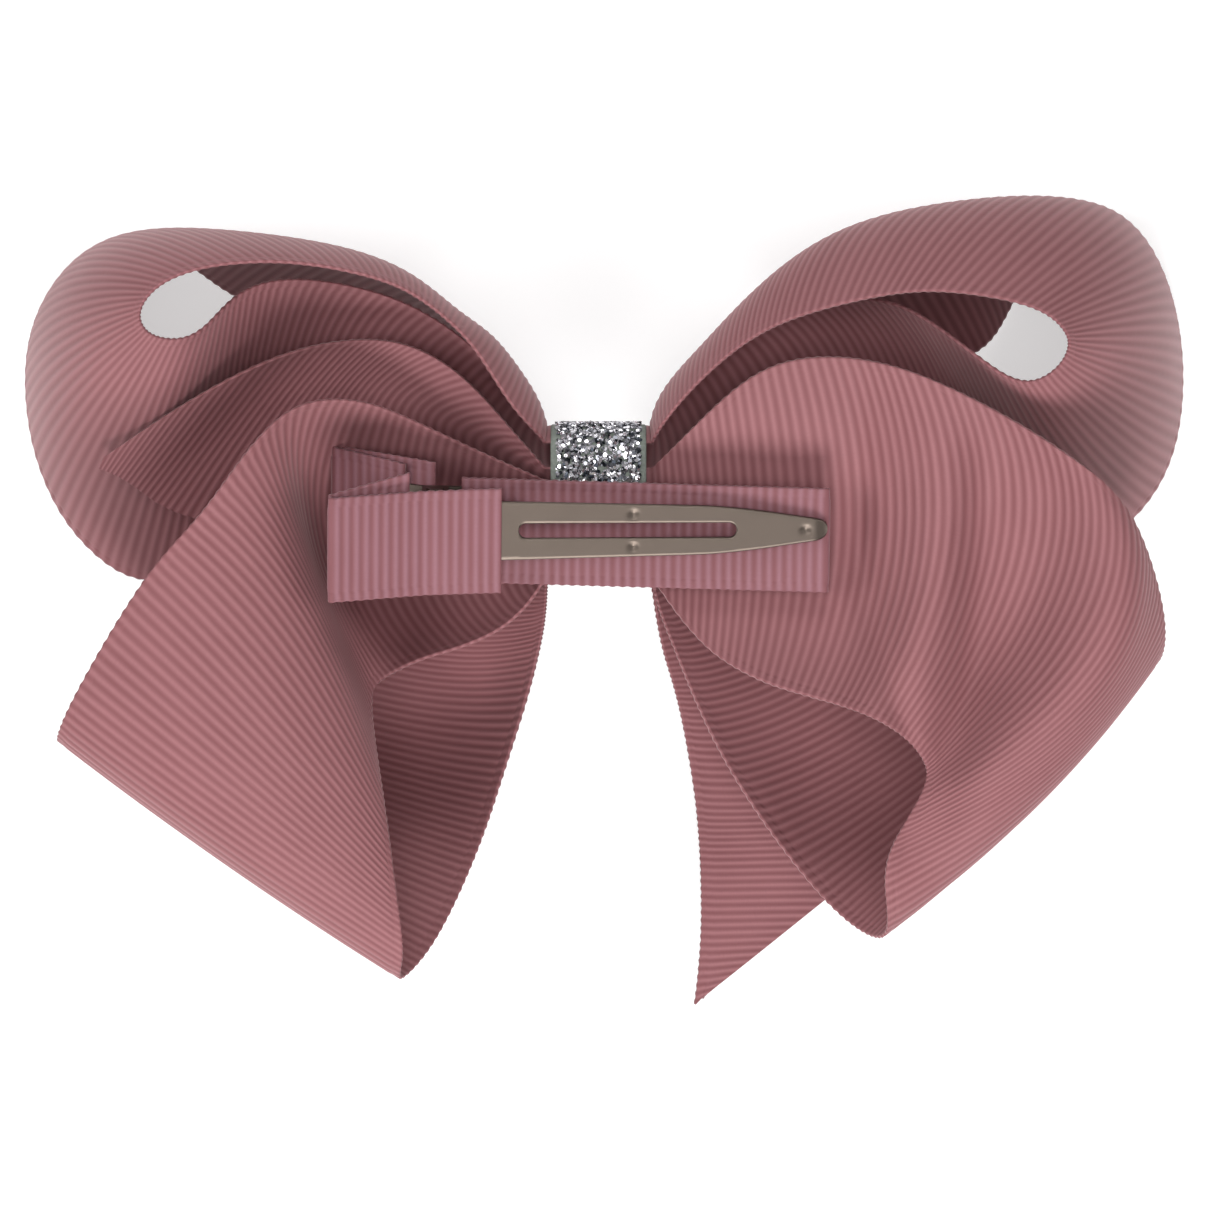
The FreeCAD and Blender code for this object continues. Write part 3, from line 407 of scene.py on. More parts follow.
def wide_ribbon(name, node, material, plain_from=None):
    """A loop or tail over its ribs, run on a little into the knot, with evenly spaced ribs."""
    ribs = RIBS[node]
    across = columns_for(WIDE, WIDE_STEP)
    places, lengths = even_rows(ribs, across)
    middle = strip_points(ribs, places, across)
    if node == "lower_right_loop":
        middle = creased(middle)
    inwards = np.array([-math.copysign(1.0, ribs[0][0][0]), 0, 0])
    middle, lengths, added = tucked(middle, lengths, inwards, node.endswith("loop"))
    chord = np.linalg.norm(np.diff(middle, axis=1), axis=2).cumsum(1)
    from_near = np.concatenate([np.zeros((len(middle), 1)), chord], axis=1)
    from_far = from_near[:, -1:] - from_near
    cut = None if plain_from is None else int(np.searchsorted(places, plain_from)) + added
    piece = grosgrain(name, middle, lengths, [from_near, from_far], material, plain_from=cut)
    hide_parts(node)


# ------------ materials

def new_material(name):
    material = bpy.data.materials.new(name)
    material.use_nodes = True
    return material, material.node_tree, material.node_tree.nodes["Principled BSDF"]


def math_node(tree, operation, a, b=None):
    """A math node's output; a is a socket, and b a socket, a number or nothing."""
    made = tree.nodes.new("ShaderNodeMath")
    made.operation = operation
    tree.links.new(a, made.inputs[0])
    if isinstance(b, (int, float)):
        made.inputs[1].default_value = b
    elif b is not None:
        tree.links.new(b, made.inputs[1])
    return made.outputs[0]


def scaled(tree, socket, factor, offset):
    return math_node(tree, "ADD", math_node(tree, "MULTIPLY", socket, factor), offset)


def colour_mix(tree, share, a, b):
    """Mixes a and b, each a colour or a socket, by a socket that gives the share of b."""
    made = tree.nodes.new("ShaderNodeMix")
    made.data_type = "RGBA"
    tree.links.new(share, made.inputs["Factor"])
    for socket, value in ((made.inputs["A"], a), (made.inputs["B"], b)):
        if isinstance(value, tuple):
            socket.default_value = (*value, 1)
        else:
            tree.links.new(value, socket)
    return made.outputs["Result"]


def on_object(tree):
    return tree.nodes.new("ShaderNodeTexCoord").outputs["Object"]


def noise(tree, vector, scale, detail=2.0, roughness=0.5):
    made = tree.nodes.new("ShaderNodeTexNoise")
    made.inputs["Scale"].default_value = scale
    made.inputs["Detail"].default_value = detail
    made.inputs["Roughness"].default_value = roughness
    tree.links.new(vector, made.inputs["Vector"])
    return made.outputs["Fac"]


def stretched(tree, vector, scale):
    made = tree.nodes.new("ShaderNodeMapping")
    made.inputs["Scale"].default_value = scale
    tree.links.new(vector, made.inputs["Vector"])
    return made.outputs["Vector"]


def add_bump(tree, shader, height, strength, distance):
    bump = tree.nodes.new("ShaderNodeBump")
    bump.inputs["Strength"].default_value = strength
    bump.inputs["Distance"].default_value = distance
    tree.links.new(height, bump.inputs["Height"])
    tree.links.new(bump.outputs["Normal"], shader.inputs["Normal"])


RIB_COLOUR = (0.252, 0.108, 0.117)
NARROW_RIB_COLOUR = (0.225, 0.105, 0.125)
# painted shade: the darker colour the grooves between the ribs are filled with
GROOVE_SHADE_COLOUR = (0.158, 0.055, 0.060)
NICKEL_COLOUR = (0.125, 0.100, 0.084)
STEEL_COLOUR = (0.40, 0.36, 0.30)
THREAD_COLOURS = (0.30, 0.13, 0.14), (0.48, 0.26, 0.27)
BAND_COLOURS = (0.10, 0.115, 0.10), (0.24, 0.265, 0.235)    # the woven ground under the glitter
GLUE_COLOURS = (0.72, 0.66, 0.55), (0.86, 0.83, 0.76)
FLAKE_DARK, FLAKE_GREY, FLAKE_LIGHT = (0.03, 0.035, 0.045), (0.27, 0.27, 0.30), (0.80, 0.78, 0.82)


def grosgrain_material(name, rib=RIB_COLOUR):
    """Dusty rose grosgrain with lighter ribs and grooves darkened by painted shade, and fine warp threads over
    each rib.
    """
    material, tree, shader = new_material(name)
    weave = tree.nodes.new("ShaderNodeAttribute")
    weave.attribute_name = "weave"
    place = weave.outputs["Vector"]
    parts = tree.nodes.new("ShaderNodeSeparateXYZ")
    tree.links.new(place, parts.inputs["Vector"])
    half_turns = math_node(tree, "MULTIPLY", parts.outputs["X"], math.pi)
    ridge = math_node(tree, "ABSOLUTE", math_node(tree, "SINE", half_turns))
    ridge = math_node(tree, "POWER", ridge, RIB_SHARP)
    threads = noise(tree, stretched(tree, place, (0.9, 0.0, 4.2)), 1.0, 3.0, 0.6)
    slubs = noise(tree, stretched(tree, place, (0.25, 0.0, 0.12)), 1.0, 2.0)
    # Painted shade: each groove blends from the rib colour towards the darker groove shade colour, by the rib's
    # height.
    shade = math_node(tree, "MULTIPLY", ridge, scaled(tree, threads, 0.5, 0.72))
    base = colour_mix(tree, shade, GROOVE_SHADE_COLOUR, rib)
    lighter = tuple(c * 1.12 for c in rib)
    tone = math_node(tree, "MULTIPLY", slubs, 0.35)
    tree.links.new(colour_mix(tree, tone, base, lighter), shader.inputs["Base Color"])
    tree.links.new(scaled(tree, threads, 0.25, 0.5), shader.inputs["Roughness"])
    shader.inputs["Specular IOR Level"].default_value = 0.18
    shader.inputs["Sheen Weight"].default_value = 0.22
    shader.inputs["Sheen Roughness"].default_value = 0.4
    shader.inputs["Sheen Tint"].default_value = (0.95, 0.75, 0.75, 1)
    add_bump(tree, shader, threads, 0.35, 0.06 * MM)
    return material


def metal_material(name, colour, rough):
    """Plated sheet metal with a fine grain along the strip and faint handling marks."""
    material, tree, shader = new_material(name)
    place = on_object(tree)
    grain = noise(tree, stretched(tree, place, (600.0, 9000.0, 9000.0)), 1.0, 3.0, 0.6)
    marks = noise(tree, place, 260.0, 4.0, 0.6)
    darker = tuple(c * 0.72 for c in colour)
    share = math_node(tree, "MULTIPLY", marks, 0.6)
    tree.links.new(colour_mix(tree, share, colour, darker), shader.inputs["Base Color"])
    shader.inputs["Metallic"].default_value = 1.0
    tree.links.new(scaled(tree, grain, 0.08, rough), shader.inputs["Roughness"])
    add_bump(tree, shader, grain, 0.12, 0.02 * MM)
    return material


def grainy_material(name, colours, scale, rough):
    """Thread or plain cloth, whose colour and height follow one fine grain."""
    material, tree, shader = new_material(name)
    grain = noise(tree, stretched(tree, on_object(tree), scale), 1.0, 2.0)
    tree.links.new(colour_mix(tree, grain, *colours), shader.inputs["Base Color"])
    shader.inputs["Roughness"].default_value = rough
    add_bump(tree, shader, grain, 0.5, 0.1 * MM)
    return material


def flake_material():
    """Glitter: each flake its own silver, from near white to black, by its own random value."""
    material, tree, shader = new_material("glitter_flakes")
    own = tree.nodes.new("ShaderNodeAttribute")
    own.attribute_name = "flake"
    ramp = tree.nodes.new("ShaderNodeValToRGB")
    dark, light = ramp.color_ramp.elements
    dark.position, dark.color = 0.12, (*FLAKE_DARK, 1)
    light.position, light.color = 0.75, (*FLAKE_LIGHT, 1)
    ramp.color_ramp.elements.new(0.42).color = (*FLAKE_GREY, 1)
    tree.links.new(own.outputs["Fac"], ramp.inputs["Fac"])
    tree.links.new(ramp.outputs["Color"], shader.inputs["Base Color"])
    shader.inputs["Metallic"].default_value = 0.85
    place = on_object(tree)
    scuffs = noise(tree, place, 4000.0, 2.0)
    tree.links.new(scaled(tree, scuffs, 0.2, 0.12), shader.inputs["Roughness"])
    return material


def glue_material():
    material, tree, shader = new_material("hot_glue")
    place = on_object(tree)
    cloud = noise(tree, place, 900.0, 3.0)
    tree.links.new(colour_mix(tree, cloud, *GLUE_COLOURS), shader.inputs["Base Color"])
    tree.links.new(scaled(tree, cloud, 0.2, 0.2), shader.inputs["Roughness"])
    shader.inputs["Subsurface Weight"].default_value = 0.3
    shader.inputs["Subsurface Radius"].default_value = (0.002, 0.0015, 0.001)
    add_bump(tree, shader, cloud, 0.3, 0.2 * MM)
    return material


def floor_material():
    """A pale sheet with a little light of its own, as on a light table."""
    material, tree, shader = new_material("pale_floor")
    shader.inputs["Base Color"].default_value = (0.55, 0.55, 0.55, 1)
    shader.inputs["Roughness"].default_value = 0.9
    shader.inputs["Specular IOR Level"].default_value = 0.1
    shader.inputs["Emission Color"].default_value = (1, 1, 1, 1)
    shader.inputs["Emission Strength"].default_value = 0.52
    return material


# ------------ clip

HINGE = np.array(frame["joints"][0]["pos_m"]) / MM
ACROSS = -np.array(frame["joints"][0]["axis"])       # the clip's own Y, along its hinge pin
FORWARD = unit(np.cross(ACROSS, [0.0, 0.0, 1.0]))    # its own X, towards the tip
UPWARD = np.cross(FORWARD, ACROSS)

METAL = 0.5            # thickness of the arms
ARM_END = 38.8
ARM_START = 6.6        # where the upper arm leaves its ribbon
ARM_HALF = 2.95        # half the arm's width there
WAIST_HALF = 2.4       # half its width where the nose starts
NOSE_START = 29.0
NOSE_NARROWS = 1.9     # how much less of a half width the nose has at its end
TIP_ROUND = 1.05       # radius of the rounded tip
HANDLE_END = -10.0
KNEE = -1.0
SLOT = (8.3, 29.8)
SLOT_HALF = 0.75
UPPER_LINE = [(HANDLE_END, 4.6), (KNEE, 1.9), (37.4, -0.75)]
LOWER_LINE = [(HANDLE_END, -6.7), (KNEE, -2.05), (38.6, -2.05)]
LIP = (1.4, 0.33)      # length and drop of the tip's lip
BEVEL = 0.07
STATION_STEP = 0.25    # distance between the upper arm's sections
DIMPLES = [(19.6, 1.65), (19.6, -1.65), (36.6, 0.0)]
DIMPLE_ROUND, DIMPLE_DEEP = 0.42, 0.24
EAR_AT = 2.7           # from the clip's middle to the middle of either upper ear
EAR_HIGH, EAR_LOW = 1.75, 1.15    # how far an upper ear reaches above and below the pin
EAR_HALF = 1.3         # half its width where it leaves the arm
EAR_BORE = 0.66        # radius of its hole
WRAP_GAP = 0.03        # between the metal and a ribbon laid on it
WRAP_HALF = 0.21       # half a ribbon's thickness with its ribs
WRAP_END = WRAP_GAP + WRAP_HALF           # middle of a ribbon folded round an end, past that end
WRAP_OFF = METAL / 2 + WRAP_GAP + WRAP_HALF    # middle of a ribbon on the metal, from the metal's middle
FOLD_CUT = 0.35        # a ribbon's fold starts this far from its corner
KNEE_CUT = 1.5         # and the bend of the upper arm this far


def in_clip(points):
    """Points given along the clip, across it and up from its hinge, in the object's frame."""
    points = np.asarray(points, float)
    return HINGE + points[..., 0:1] * FORWARD + points[..., 1:2] * ACROSS + points[..., 2:3] * UPWARD


def height_on(line, x):
    """Height above the hinge of a line of (x, z) corners, at x."""
    xs, zs = zip(*line)
    return np.interp(x, xs, zs)


def rounded_line(corners, cut, step=0.12):
    """Points along a line of (x, z) corners, each corner replaced by a curve `cut` either side."""
    corners = [np.array(corner, float) for corner in corners]
    points = [corners[0]]
    for before, corner, after in zip(corners, corners[1:], corners[2:]):
        reach = min(cut, np.linalg.norm(corner - before) / 2, np.linalg.norm(after - corner) / 2)
        start = corner + unit(before - corner) * reach
        end = corner + unit(after - corner) * reach
        points += [(1 - t) ** 2 * start + 2 * t * (1 - t) * corner + t ** 2 * end for t in np.linspace(0, 1, 7)]
    points = np.array(points + [corners[-1]])
    lengths = distances(points)
    places = np.linspace(0, lengths[-1], round(lengths[-1] / step) + 1)
    return between(places, lengths, points), places


def narrow_ribbon(name, node_name, corners, aside, material, body):
    """A narrow ribbon along a line of corners, `aside` to the clip's left at each of them."""
    line, lengths = rounded_line(corners, FOLD_CUT, RIB_PITCH / ROWS_PER_RIB)
    across = columns_for(NARROW, NARROW_STEP)
    rows, columns = len(line), len(across)
    middle = np.zeros((rows, columns, 3))
    middle[..., 0] = line[:, :1]
    runs = distances(np.array(corners))
    corner_places = runs / runs[-1] * lengths[-1]
    middle[..., 1] = (across - 0.5) * NARROW + np.interp(lengths, corner_places, aside)[:, None]
    middle[..., 2] = line[:, 1:]
    middle = in_clip(middle)
    from_near = np.broadcast_to(across * NARROW, (rows, columns))
    piece = grosgrain(name, middle, lengths, [from_near, NARROW - from_near], material, body)
    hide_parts(node_name)


def arm_half_width(x):
    """Half the upper arm's width: a slight waist, the nose, a round tip."""
    x = np.asarray(x, float)
    half = np.interp(x, [ARM_START, NOSE_START], [ARM_HALF, WAIST_HALF])
    half -= smooth_step(NOSE_START - 3, ARM_END + 6, x) * NOSE_NARROWS
    centre = ARM_END - TIP_ROUND
    round_tip = np.sqrt(np.clip(TIP_ROUND ** 2 - (x - centre) ** 2, 0, None))
    return np.where(x > centre, np.minimum(half, round_tip), half)


def slot_half_width(x):
    """Half the slot's width, 0 outside it, with round ends."""
    into = np.minimum(x - SLOT[0], SLOT[1] - x)
    near_end = np.sqrt(np.clip(SLOT_HALF ** 2 - (SLOT_HALF - into) ** 2, 0, None))
    return np.where(into <= 0, 0, np.where(into < SLOT_HALF, near_end, SLOT_HALF))


def arm_height(x):
    """Middle of the upper arm above the hinge: straight runs, a soft knee, and the lip's bend."""
    line, _ = rounded_line(UPPER_LINE, KNEE_CUT)
    last_x, last_z = UPPER_LINE[-1]
    high = np.where(x > last_x, last_z, np.interp(x, line[:, 0], line[:, 1]))
    return high - LIP[1] * smooth_step(ARM_END - LIP[0], ARM_END, x)


def arm_section(x, side, columns=9):
    """One rail's outline at x, from its inner edge over the top and back along the underside."""
    outer, inner = arm_half_width(x), slot_half_width(x)
    soft = min(BEVEL, outer - inner) if outer - inner > 0.02 else 0.0
    inner_soft = min(BEVEL, inner)
    ys = np.linspace(inner + inner_soft, max(outer - soft, inner + inner_soft), columns)
    half = METAL / 2
    wall = half - BEVEL
    top = [(y, half) for y in ys] + [(outer, wall), (outer, -wall)]
    under = [(y, -half) for y in ys[::-1]] + [(inner, -wall), (inner, wall)]
    return [(x, side * y, z) for y, z in top + under]


def arm_stations():
    """Places of the upper arm's sections, closer at its tip and at the slot's ends."""
    slot_end = SLOT_HALF * (1 - np.cos(np.linspace(0, math.pi / 2, 9)))
    tip = TIP_ROUND * np.sin(np.linspace(0, math.pi / 2 - 0.02, 14))
    return np.unique(np.concatenate([
        np.arange(HANDLE_END, ARM_END - TIP_ROUND, STATION_STEP),
        ARM_END - TIP_ROUND + tip, SLOT[0] + slot_end, SLOT[1] - slot_end,
    ]).round(4))


def rail_faces(stations, ring, first):
    """Faces of one rail; its inner wall is left out where it meets the other rail."""
    faces = []
    for i, (x, following) in enumerate(zip(stations, stations[1:])):
        joined = slot_half_width((x + following) / 2) <= 0
        here, there = first + i * ring, first + (i + 1) * ring
        for j in range(ring - 3 if joined else ring):
            after = (j + 1) % ring
            faces.append([here + j, here + after, there + after, there + j])
    for i in (0, len(stations) - 1):
        faces.append([first + i * ring + j for j in range(ring)])
    return faces


def upper_arm(material):
    """The arm's plate as two rails that join outside the slot, with its punched dimples."""
    stations = arm_stations()
    points, faces = [], []
    for side in (1, -1):
        sections = np.array([arm_section(x, side) for x in stations])
        faces += rail_faces(stations, sections.shape[1], len(points))
        points += list(sections.reshape(-1, 3))
    points = np.array(points)
    on_top = points[:, 2] > 0.1
    for x, y in DIMPLES:
        away = np.hypot(points[:, 0] - x, points[:, 1] - y) / DIMPLE_ROUND
        points[:, 2] -= np.where(on_top, DIMPLE_DEEP * np.exp(-away ** 2 * 1.5), 0)
    points[:, 2] += arm_height(points[:, 0])
    piece = new_piece("upper_jaw_arm", in_clip(points), faces, material, "upper_jaw")
    tidy_normals(piece, weld=0.004)
    return piece


def ear(name, middle_y, material):
    """An upper ear: a plate with a hole for the pin, square where it leaves the arm, round past it."""
    turns = 40
    outline, bore = [], []
    for turn in range(turns):
        angle = 2 * math.pi * turn / turns
        c, s = math.cos(angle), math.sin(angle)
        reach = EAR_LOW
        if s > 0:
            reach = min(EAR_HALF / max(abs(c), 1e-6), EAR_HIGH / max(s, 1e-6))
        outline.append((reach * c, reach * s))
        bore.append((EAR_BORE * c, EAR_BORE * s))
    near, far = middle_y - METAL / 2, middle_y + METAL / 2
    rings = [(bore, near), (outline, near), (outline, far), (bore, far)]
    points = in_clip([(x, y, z) for ring, y in rings for x, z in ring])
    faces = [
        [a * turns + t, a * turns + (t + 1) % turns, b * turns + (t + 1) % turns, b * turns + t]
        for a, b in ((0, 1), (1, 2), (2, 3), (3, 0)) for t in range(turns)
    ]
    piece = new_piece(name, points, faces, material, "upper_jaw", smooth=False)
    tidy_normals(piece)
    return piece


def join(pieces, name):
    """Joins pieces that ride on the same body into the first one."""
    bpy.ops.object.select_all(action="DESELECT")
    for piece in pieces:
        piece.select_set(True)
    bpy.context.view_layer.objects.active = pieces[0]
    bpy.ops.object.join()
    pieces[0].name = name
    return pieces[0]


def tube(path, radius, sides=12):
    """Points and faces of a closed round tube along a path."""
    path = np.asarray(path, float)
    along = unit(np.gradient(path, axis=0))
    side = unit(np.cross(along[0], [0.3, 0.2, 0.93]))
    rings = []
    for point, direction in zip(path, along):
        side = unit(side - direction * side.dot(direction))
        up = np.cross(direction, side)
        angles = np.linspace(0, 2 * math.pi, sides, endpoint=False)[:, None]
        rings.append(point + radius * (np.cos(angles) * side + np.sin(angles) * up))
    faces = grid_quads(len(path), sides, wrap=True).tolist()
    faces += [list(range(sides))[::-1], [(len(path) - 1) * sides + k for k in range(sides)]]
    return np.concatenate(rings), faces


WIRE_ROUND, COIL_ROUND = 0.2, 1.0    # radius of the spring's wire, and of its coil to the wire's middle
COIL_TURNS, COIL_PITCH = 9, 0.42
COIL_START = math.radians(100)
COIL_HALF = COIL_TURNS * COIL_PITCH / 2
UPPER_LEG = [(-0.9, COIL_HALF, 1.02), (-2.1, COIL_HALF, 1.3), (-3.3, COIL_HALF, 1.62)]
LOWER_LEG = [(-3.3, -COIL_HALF, -2.15), (-1.6, -COIL_HALF, -1.35), (0.05, -COIL_HALF, -0.98)]


def spring(material):
    """The torsion spring: a close coil round the pin with one leg along each handle."""
    angles = np.linspace(0, 2 * math.pi * COIL_TURNS, COIL_TURNS * 28 + 1)
    coil = np.stack([
        COIL_ROUND * np.cos(COIL_START + angles),
        angles / (2 * math.pi) * COIL_PITCH - COIL_HALF,
        COIL_ROUND * np.sin(COIL_START + angles),
    ], -1)
    pieces = []
    for name, path in (("spring_coil", np.concatenate([coil, UPPER_LEG])), ("spring_lower_leg", LOWER_LEG)):
        points, faces = tube(in_clip(path), WIRE_ROUND)
        pieces.append(new_piece(name, points, faces, material, body=None))
    piece = join(pieces, "spring_coil")
    tidy_normals(piece)
    return piece


# How far each narrow ribbon lies to the clip's left, at each of its corners.
UPPER_ASIDE = (-0.9, -1.1, -1.35, -1.2, 0.6)
LOWER_ASIDE = (0.5, 1.4, 1.4, 0.9, 0.7)
LINING_ASIDE = (-0.65, -1.3, -1.5, -0.75)
UPPER_UNDER_END, LOWER_OVER_END, LOWER_UNDER_END, LINING_END = -2.5, -3.0, 0.0, 2.6


def handle_ribbons(cloth):
    """The narrow ribbon folded round the end of each handle."""
    rear, knee = UPPER_LINE[:2]
    narrow_ribbon("upper_handle_ribbon", "upper_handle_wrap", [
        (ARM_START, height_on(UPPER_LINE, ARM_START) + WRAP_OFF), (knee[0], knee[1] + WRAP_OFF),
        (rear[0] - WRAP_END, rear[1] + WRAP_OFF), (rear[0] - WRAP_END, rear[1] - WRAP_OFF),
        (UPPER_UNDER_END, height_on(UPPER_LINE, UPPER_UNDER_END) - WRAP_OFF),
    ], UPPER_ASIDE, cloth, "upper_jaw")
    rear, knee = LOWER_LINE[:2]
    narrow_ribbon("lower_handle_ribbon", "lower_handle_wrap", [
        (LOWER_OVER_END, height_on(LOWER_LINE, LOWER_OVER_END) + WRAP_OFF),
        (rear[0] - WRAP_END, rear[1] + WRAP_OFF), (rear[0] - WRAP_END, rear[1] - WRAP_OFF),
        (knee[0], knee[1] - WRAP_OFF), (LOWER_UNDER_END, knee[1] - WRAP_OFF),
    ], LOWER_ASIDE, cloth, "root")


def lining(cloth):
    """The narrow ribbon over the lower arm, folded round its front end and back underneath."""
    front_x, front_z = LOWER_LINE[-1]
    narrow_ribbon("jaw_lining_ribbon", "jaw_lining", [
        (LINING_END, front_z + WRAP_OFF), (front_x + WRAP_END, front_z + WRAP_OFF),
        (front_x + WRAP_END, front_z - WRAP_OFF), (LINING_END, front_z - WRAP_OFF),
    ], LINING_ASIDE, cloth, "root")


def make_clip(metal, wire, cloth):
    """The clip. Its lower arm and its pin keep their CAD mesh."""
    arm = upper_arm(metal)
    ears = [ear(f"upper_ear_{k}", y, metal) for k, y in enumerate((EAR_AT, -EAR_AT))]
    arm = join([arm] + ears, "upper_jaw_arm")
    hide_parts("clip_upper_arm")
    coil = spring(wire)
    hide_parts("torsion_spring")
    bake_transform(coil)
    handle_ribbons(cloth)
    lining(cloth)


# ------------ knot

KNOT_LOW, KNOT_HIGH = box_of("glitter_band")
KNOT_LOW[1] += 0.3     # drawn a little tighter here, so less of it shows past the clip's ribbon
BAND_DEEP = 0.75       # how far the strip reaches in from its CAD face
BAND_ROUND = 4.15      # radius of the band's outer corners
BAND_TOP = 0.25        # where the strip's own face lies, to leave room for the glitter
GLITTER_MARGIN = 0.6   # bare edge either side of the glitter
FLAKES = 6500
FLAKE_SIZE = (0.14, 0.26)
FLAKE_THICK = 0.03     # half of it
FLAKE_SINK = 0.25      # how far the deepest flakes lie in the band
FLAKE_TILT = 0.38      # spread of their slopes
UNDER_CLIP = (2.2, 10.9)    # the part of the band's top that the clip hides, along Y


def round_loop(low, high, radius, step):
    """Points (y, z) and outward normals round a rounded rectangle, evenly spaced."""
    centres = [(low[0] + radius, low[1] + radius), (high[0] - radius, low[1] + radius),
               (high[0] - radius, high[1] - radius), (low[0] + radius, high[1] - radius)]
    points, normals = [], []
    for k, centre in enumerate(centres):
        for angle in math.pi * (1 + k / 2 + np.linspace(0, 0.5, 40)):
            c, s = math.cos(angle), math.sin(angle)
            normals.append((c, s))
            points.append((centre[0] + radius * c, centre[1] + radius * s))
    points, normals = np.array(points + points[:1]), np.array(normals + normals[:1])
    lengths = distances(points)
    places = np.linspace(0, lengths[-1], round(lengths[-1] / step), endpoint=False)
    return between(places, lengths, points), unit(between(places, lengths, normals))


def band_strip(material):
    """The glitter ribbon's own woven strip, with soft edges, round the knot."""
    outer, normals = round_loop(KNOT_LOW[1:], KNOT_HIGH[1:], BAND_ROUND, 0.35)
    left, right = KNOT_LOW[0], KNOT_HIGH[0]
    top, deep = BAND_TOP, BAND_DEEP
    profile = [(left + 0.15, top), (left, 0.4), (left, deep - 0.1), (left + 0.15, deep)]
    profile += [(right - 0.15, deep), (right, deep - 0.1), (right, 0.4), (right - 0.15, top)]
    profile += [(x, top) for x in np.linspace(right - 0.6, left + 0.6, 12)]
    points = []
    for place, normal in zip(outer, normals):
        points += [(x, *(place - normal * inward)) for x, inward in profile]
    rows, columns = len(outer), len(profile)
    faces = grid_quads(rows + 1, columns, wrap=True) % (rows * columns)
    piece = new_piece("knot_band", np.array(points), faces, material)
    tidy_normals(piece)
    return piece


def flake_points(middle, out, size, tilt, spin):
    """The twelve corners of one hexagonal flake that lies at a slope on the band."""
    sideways = np.array([1.0, 0, 0])
    onward = np.cross(out, sideways)
    normal = unit(out + tilt[0] * sideways + tilt[1] * onward)
    first = unit(sideways - normal * sideways.dot(normal))
    second = np.cross(normal, first)
    angles = spin + np.arange(6) * math.pi / 3
    ring = middle + size * (np.cos(angles)[:, None] * first + np.sin(angles)[:, None] * second)
    return list(ring + normal * FLAKE_THICK) + list(ring - normal * FLAKE_THICK)


FLAKE_FACES = np.array([[c, 6 + c, 6 + (c + 1) % 6, (c + 1) % 6] for c in range(6)])


def glitter_flakes(material):
    """Small hexagonal flakes lying at all angles over the band, in several layers."""
    draw = np.random.default_rng(7)
    outer, normals = round_loop(KNOT_LOW[1:], KNOT_HIGH[1:], BAND_ROUND, 0.02)
    y, z = outer.T
    hidden = (y > UNDER_CLIP[0]) & (y < UNDER_CLIP[1]) & (z > KNOT_HIGH[2] - 0.4)
    spots = draw.choice(np.flatnonzero(~hidden), FLAKES)
    x = draw.uniform(KNOT_LOW[0] + GLITTER_MARGIN, KNOT_HIGH[0] - GLITTER_MARGIN, FLAKES)
    size = draw.uniform(*FLAKE_SIZE, FLAKES)
    sink = draw.uniform(0.0, FLAKE_SINK, FLAKES)
    tilt = draw.normal(0, FLAKE_TILT, (FLAKES, 2))
    spin = draw.uniform(0, math.pi, FLAKES)
    tone = draw.random(FLAKES)
    points, faces = [], []
    for k, spot in enumerate(spots):
        out = np.array([0.0, *normals[spot]])
        base = len(points)
        points += flake_points(np.array([x[k], *outer[spot]]) - out * sink[k], out, size[k], tilt[k], spin[k])
        faces += [range(base, base + 6), range(base + 11, base + 5, -1), *(FLAKE_FACES + base)]
    piece = new_piece("knot_glitter", np.array(points), faces, material, smooth=False)
    layer = piece.data.attributes.new("flake", "FLOAT", "POINT")
    layer.data.foreach_set("value", np.repeat(tone, 12))
    return piece


PLEATS = 30            # folds round the bundle
PLEAT_DEEP = 0.75
WAIST_DEEP, WAIST_LONG = 0.35, 2.0    # how far the thread draws the bundle in, and over what length


def pleats(material):
    """The gathered ribbon ends inside the band: a bundle with deep folds, drawn in at its waist."""
    low, high = box_of("pleated_core")
    outer, normals = round_loop(low[1:] + 0.4, high[1:] - 0.4, 2.6, 0.12)
    xs = np.linspace(low[0] + 0.9, high[0] - 0.9, 25)
    count = len(outer)
    turn = np.arange(count) / count * 2 * math.pi
    folds = np.abs(np.sin(turn * PLEATS / 2 + 0.7 * np.sin(turn * 4)))
    rows = []
    for x in xs:
        waist = WAIST_DEEP * math.exp(-((x - xs.mean()) / WAIST_LONG) ** 2)
        ring = outer - normals * (PLEAT_DEEP * folds + waist)[:, None]
        rows.append(np.column_stack([np.full(count, x), ring]))
    centre = (low[1:] + high[1:]) / 2
    points = np.concatenate(rows + [[[xs[0], *centre]], [[xs[-1], *centre]]])
    piece = new_piece("pleat_bundle", points, capped_faces(len(xs), count), material)
    tidy_normals(piece)
    layer = piece.data.attributes.new("weave", "FLOAT_VECTOR", "POINT")
    layer.data.foreach_set("vector", np.array([vert.co for vert in piece.data.vertices]).ravel() / MM)
    return piece


GLUE_TURNS, GLUE_LAYERS = 72, 9
GLUE_FILL = 0.95       # how much of its CAD box the glue fills sideways
GLUE_SINK = 0.05       # how far it sinks into what it joins
LINING_FACE = LOWER_LINE[-1][1] - WRAP_OFF - WRAP_HALF    # the lining's underside, from the hinge


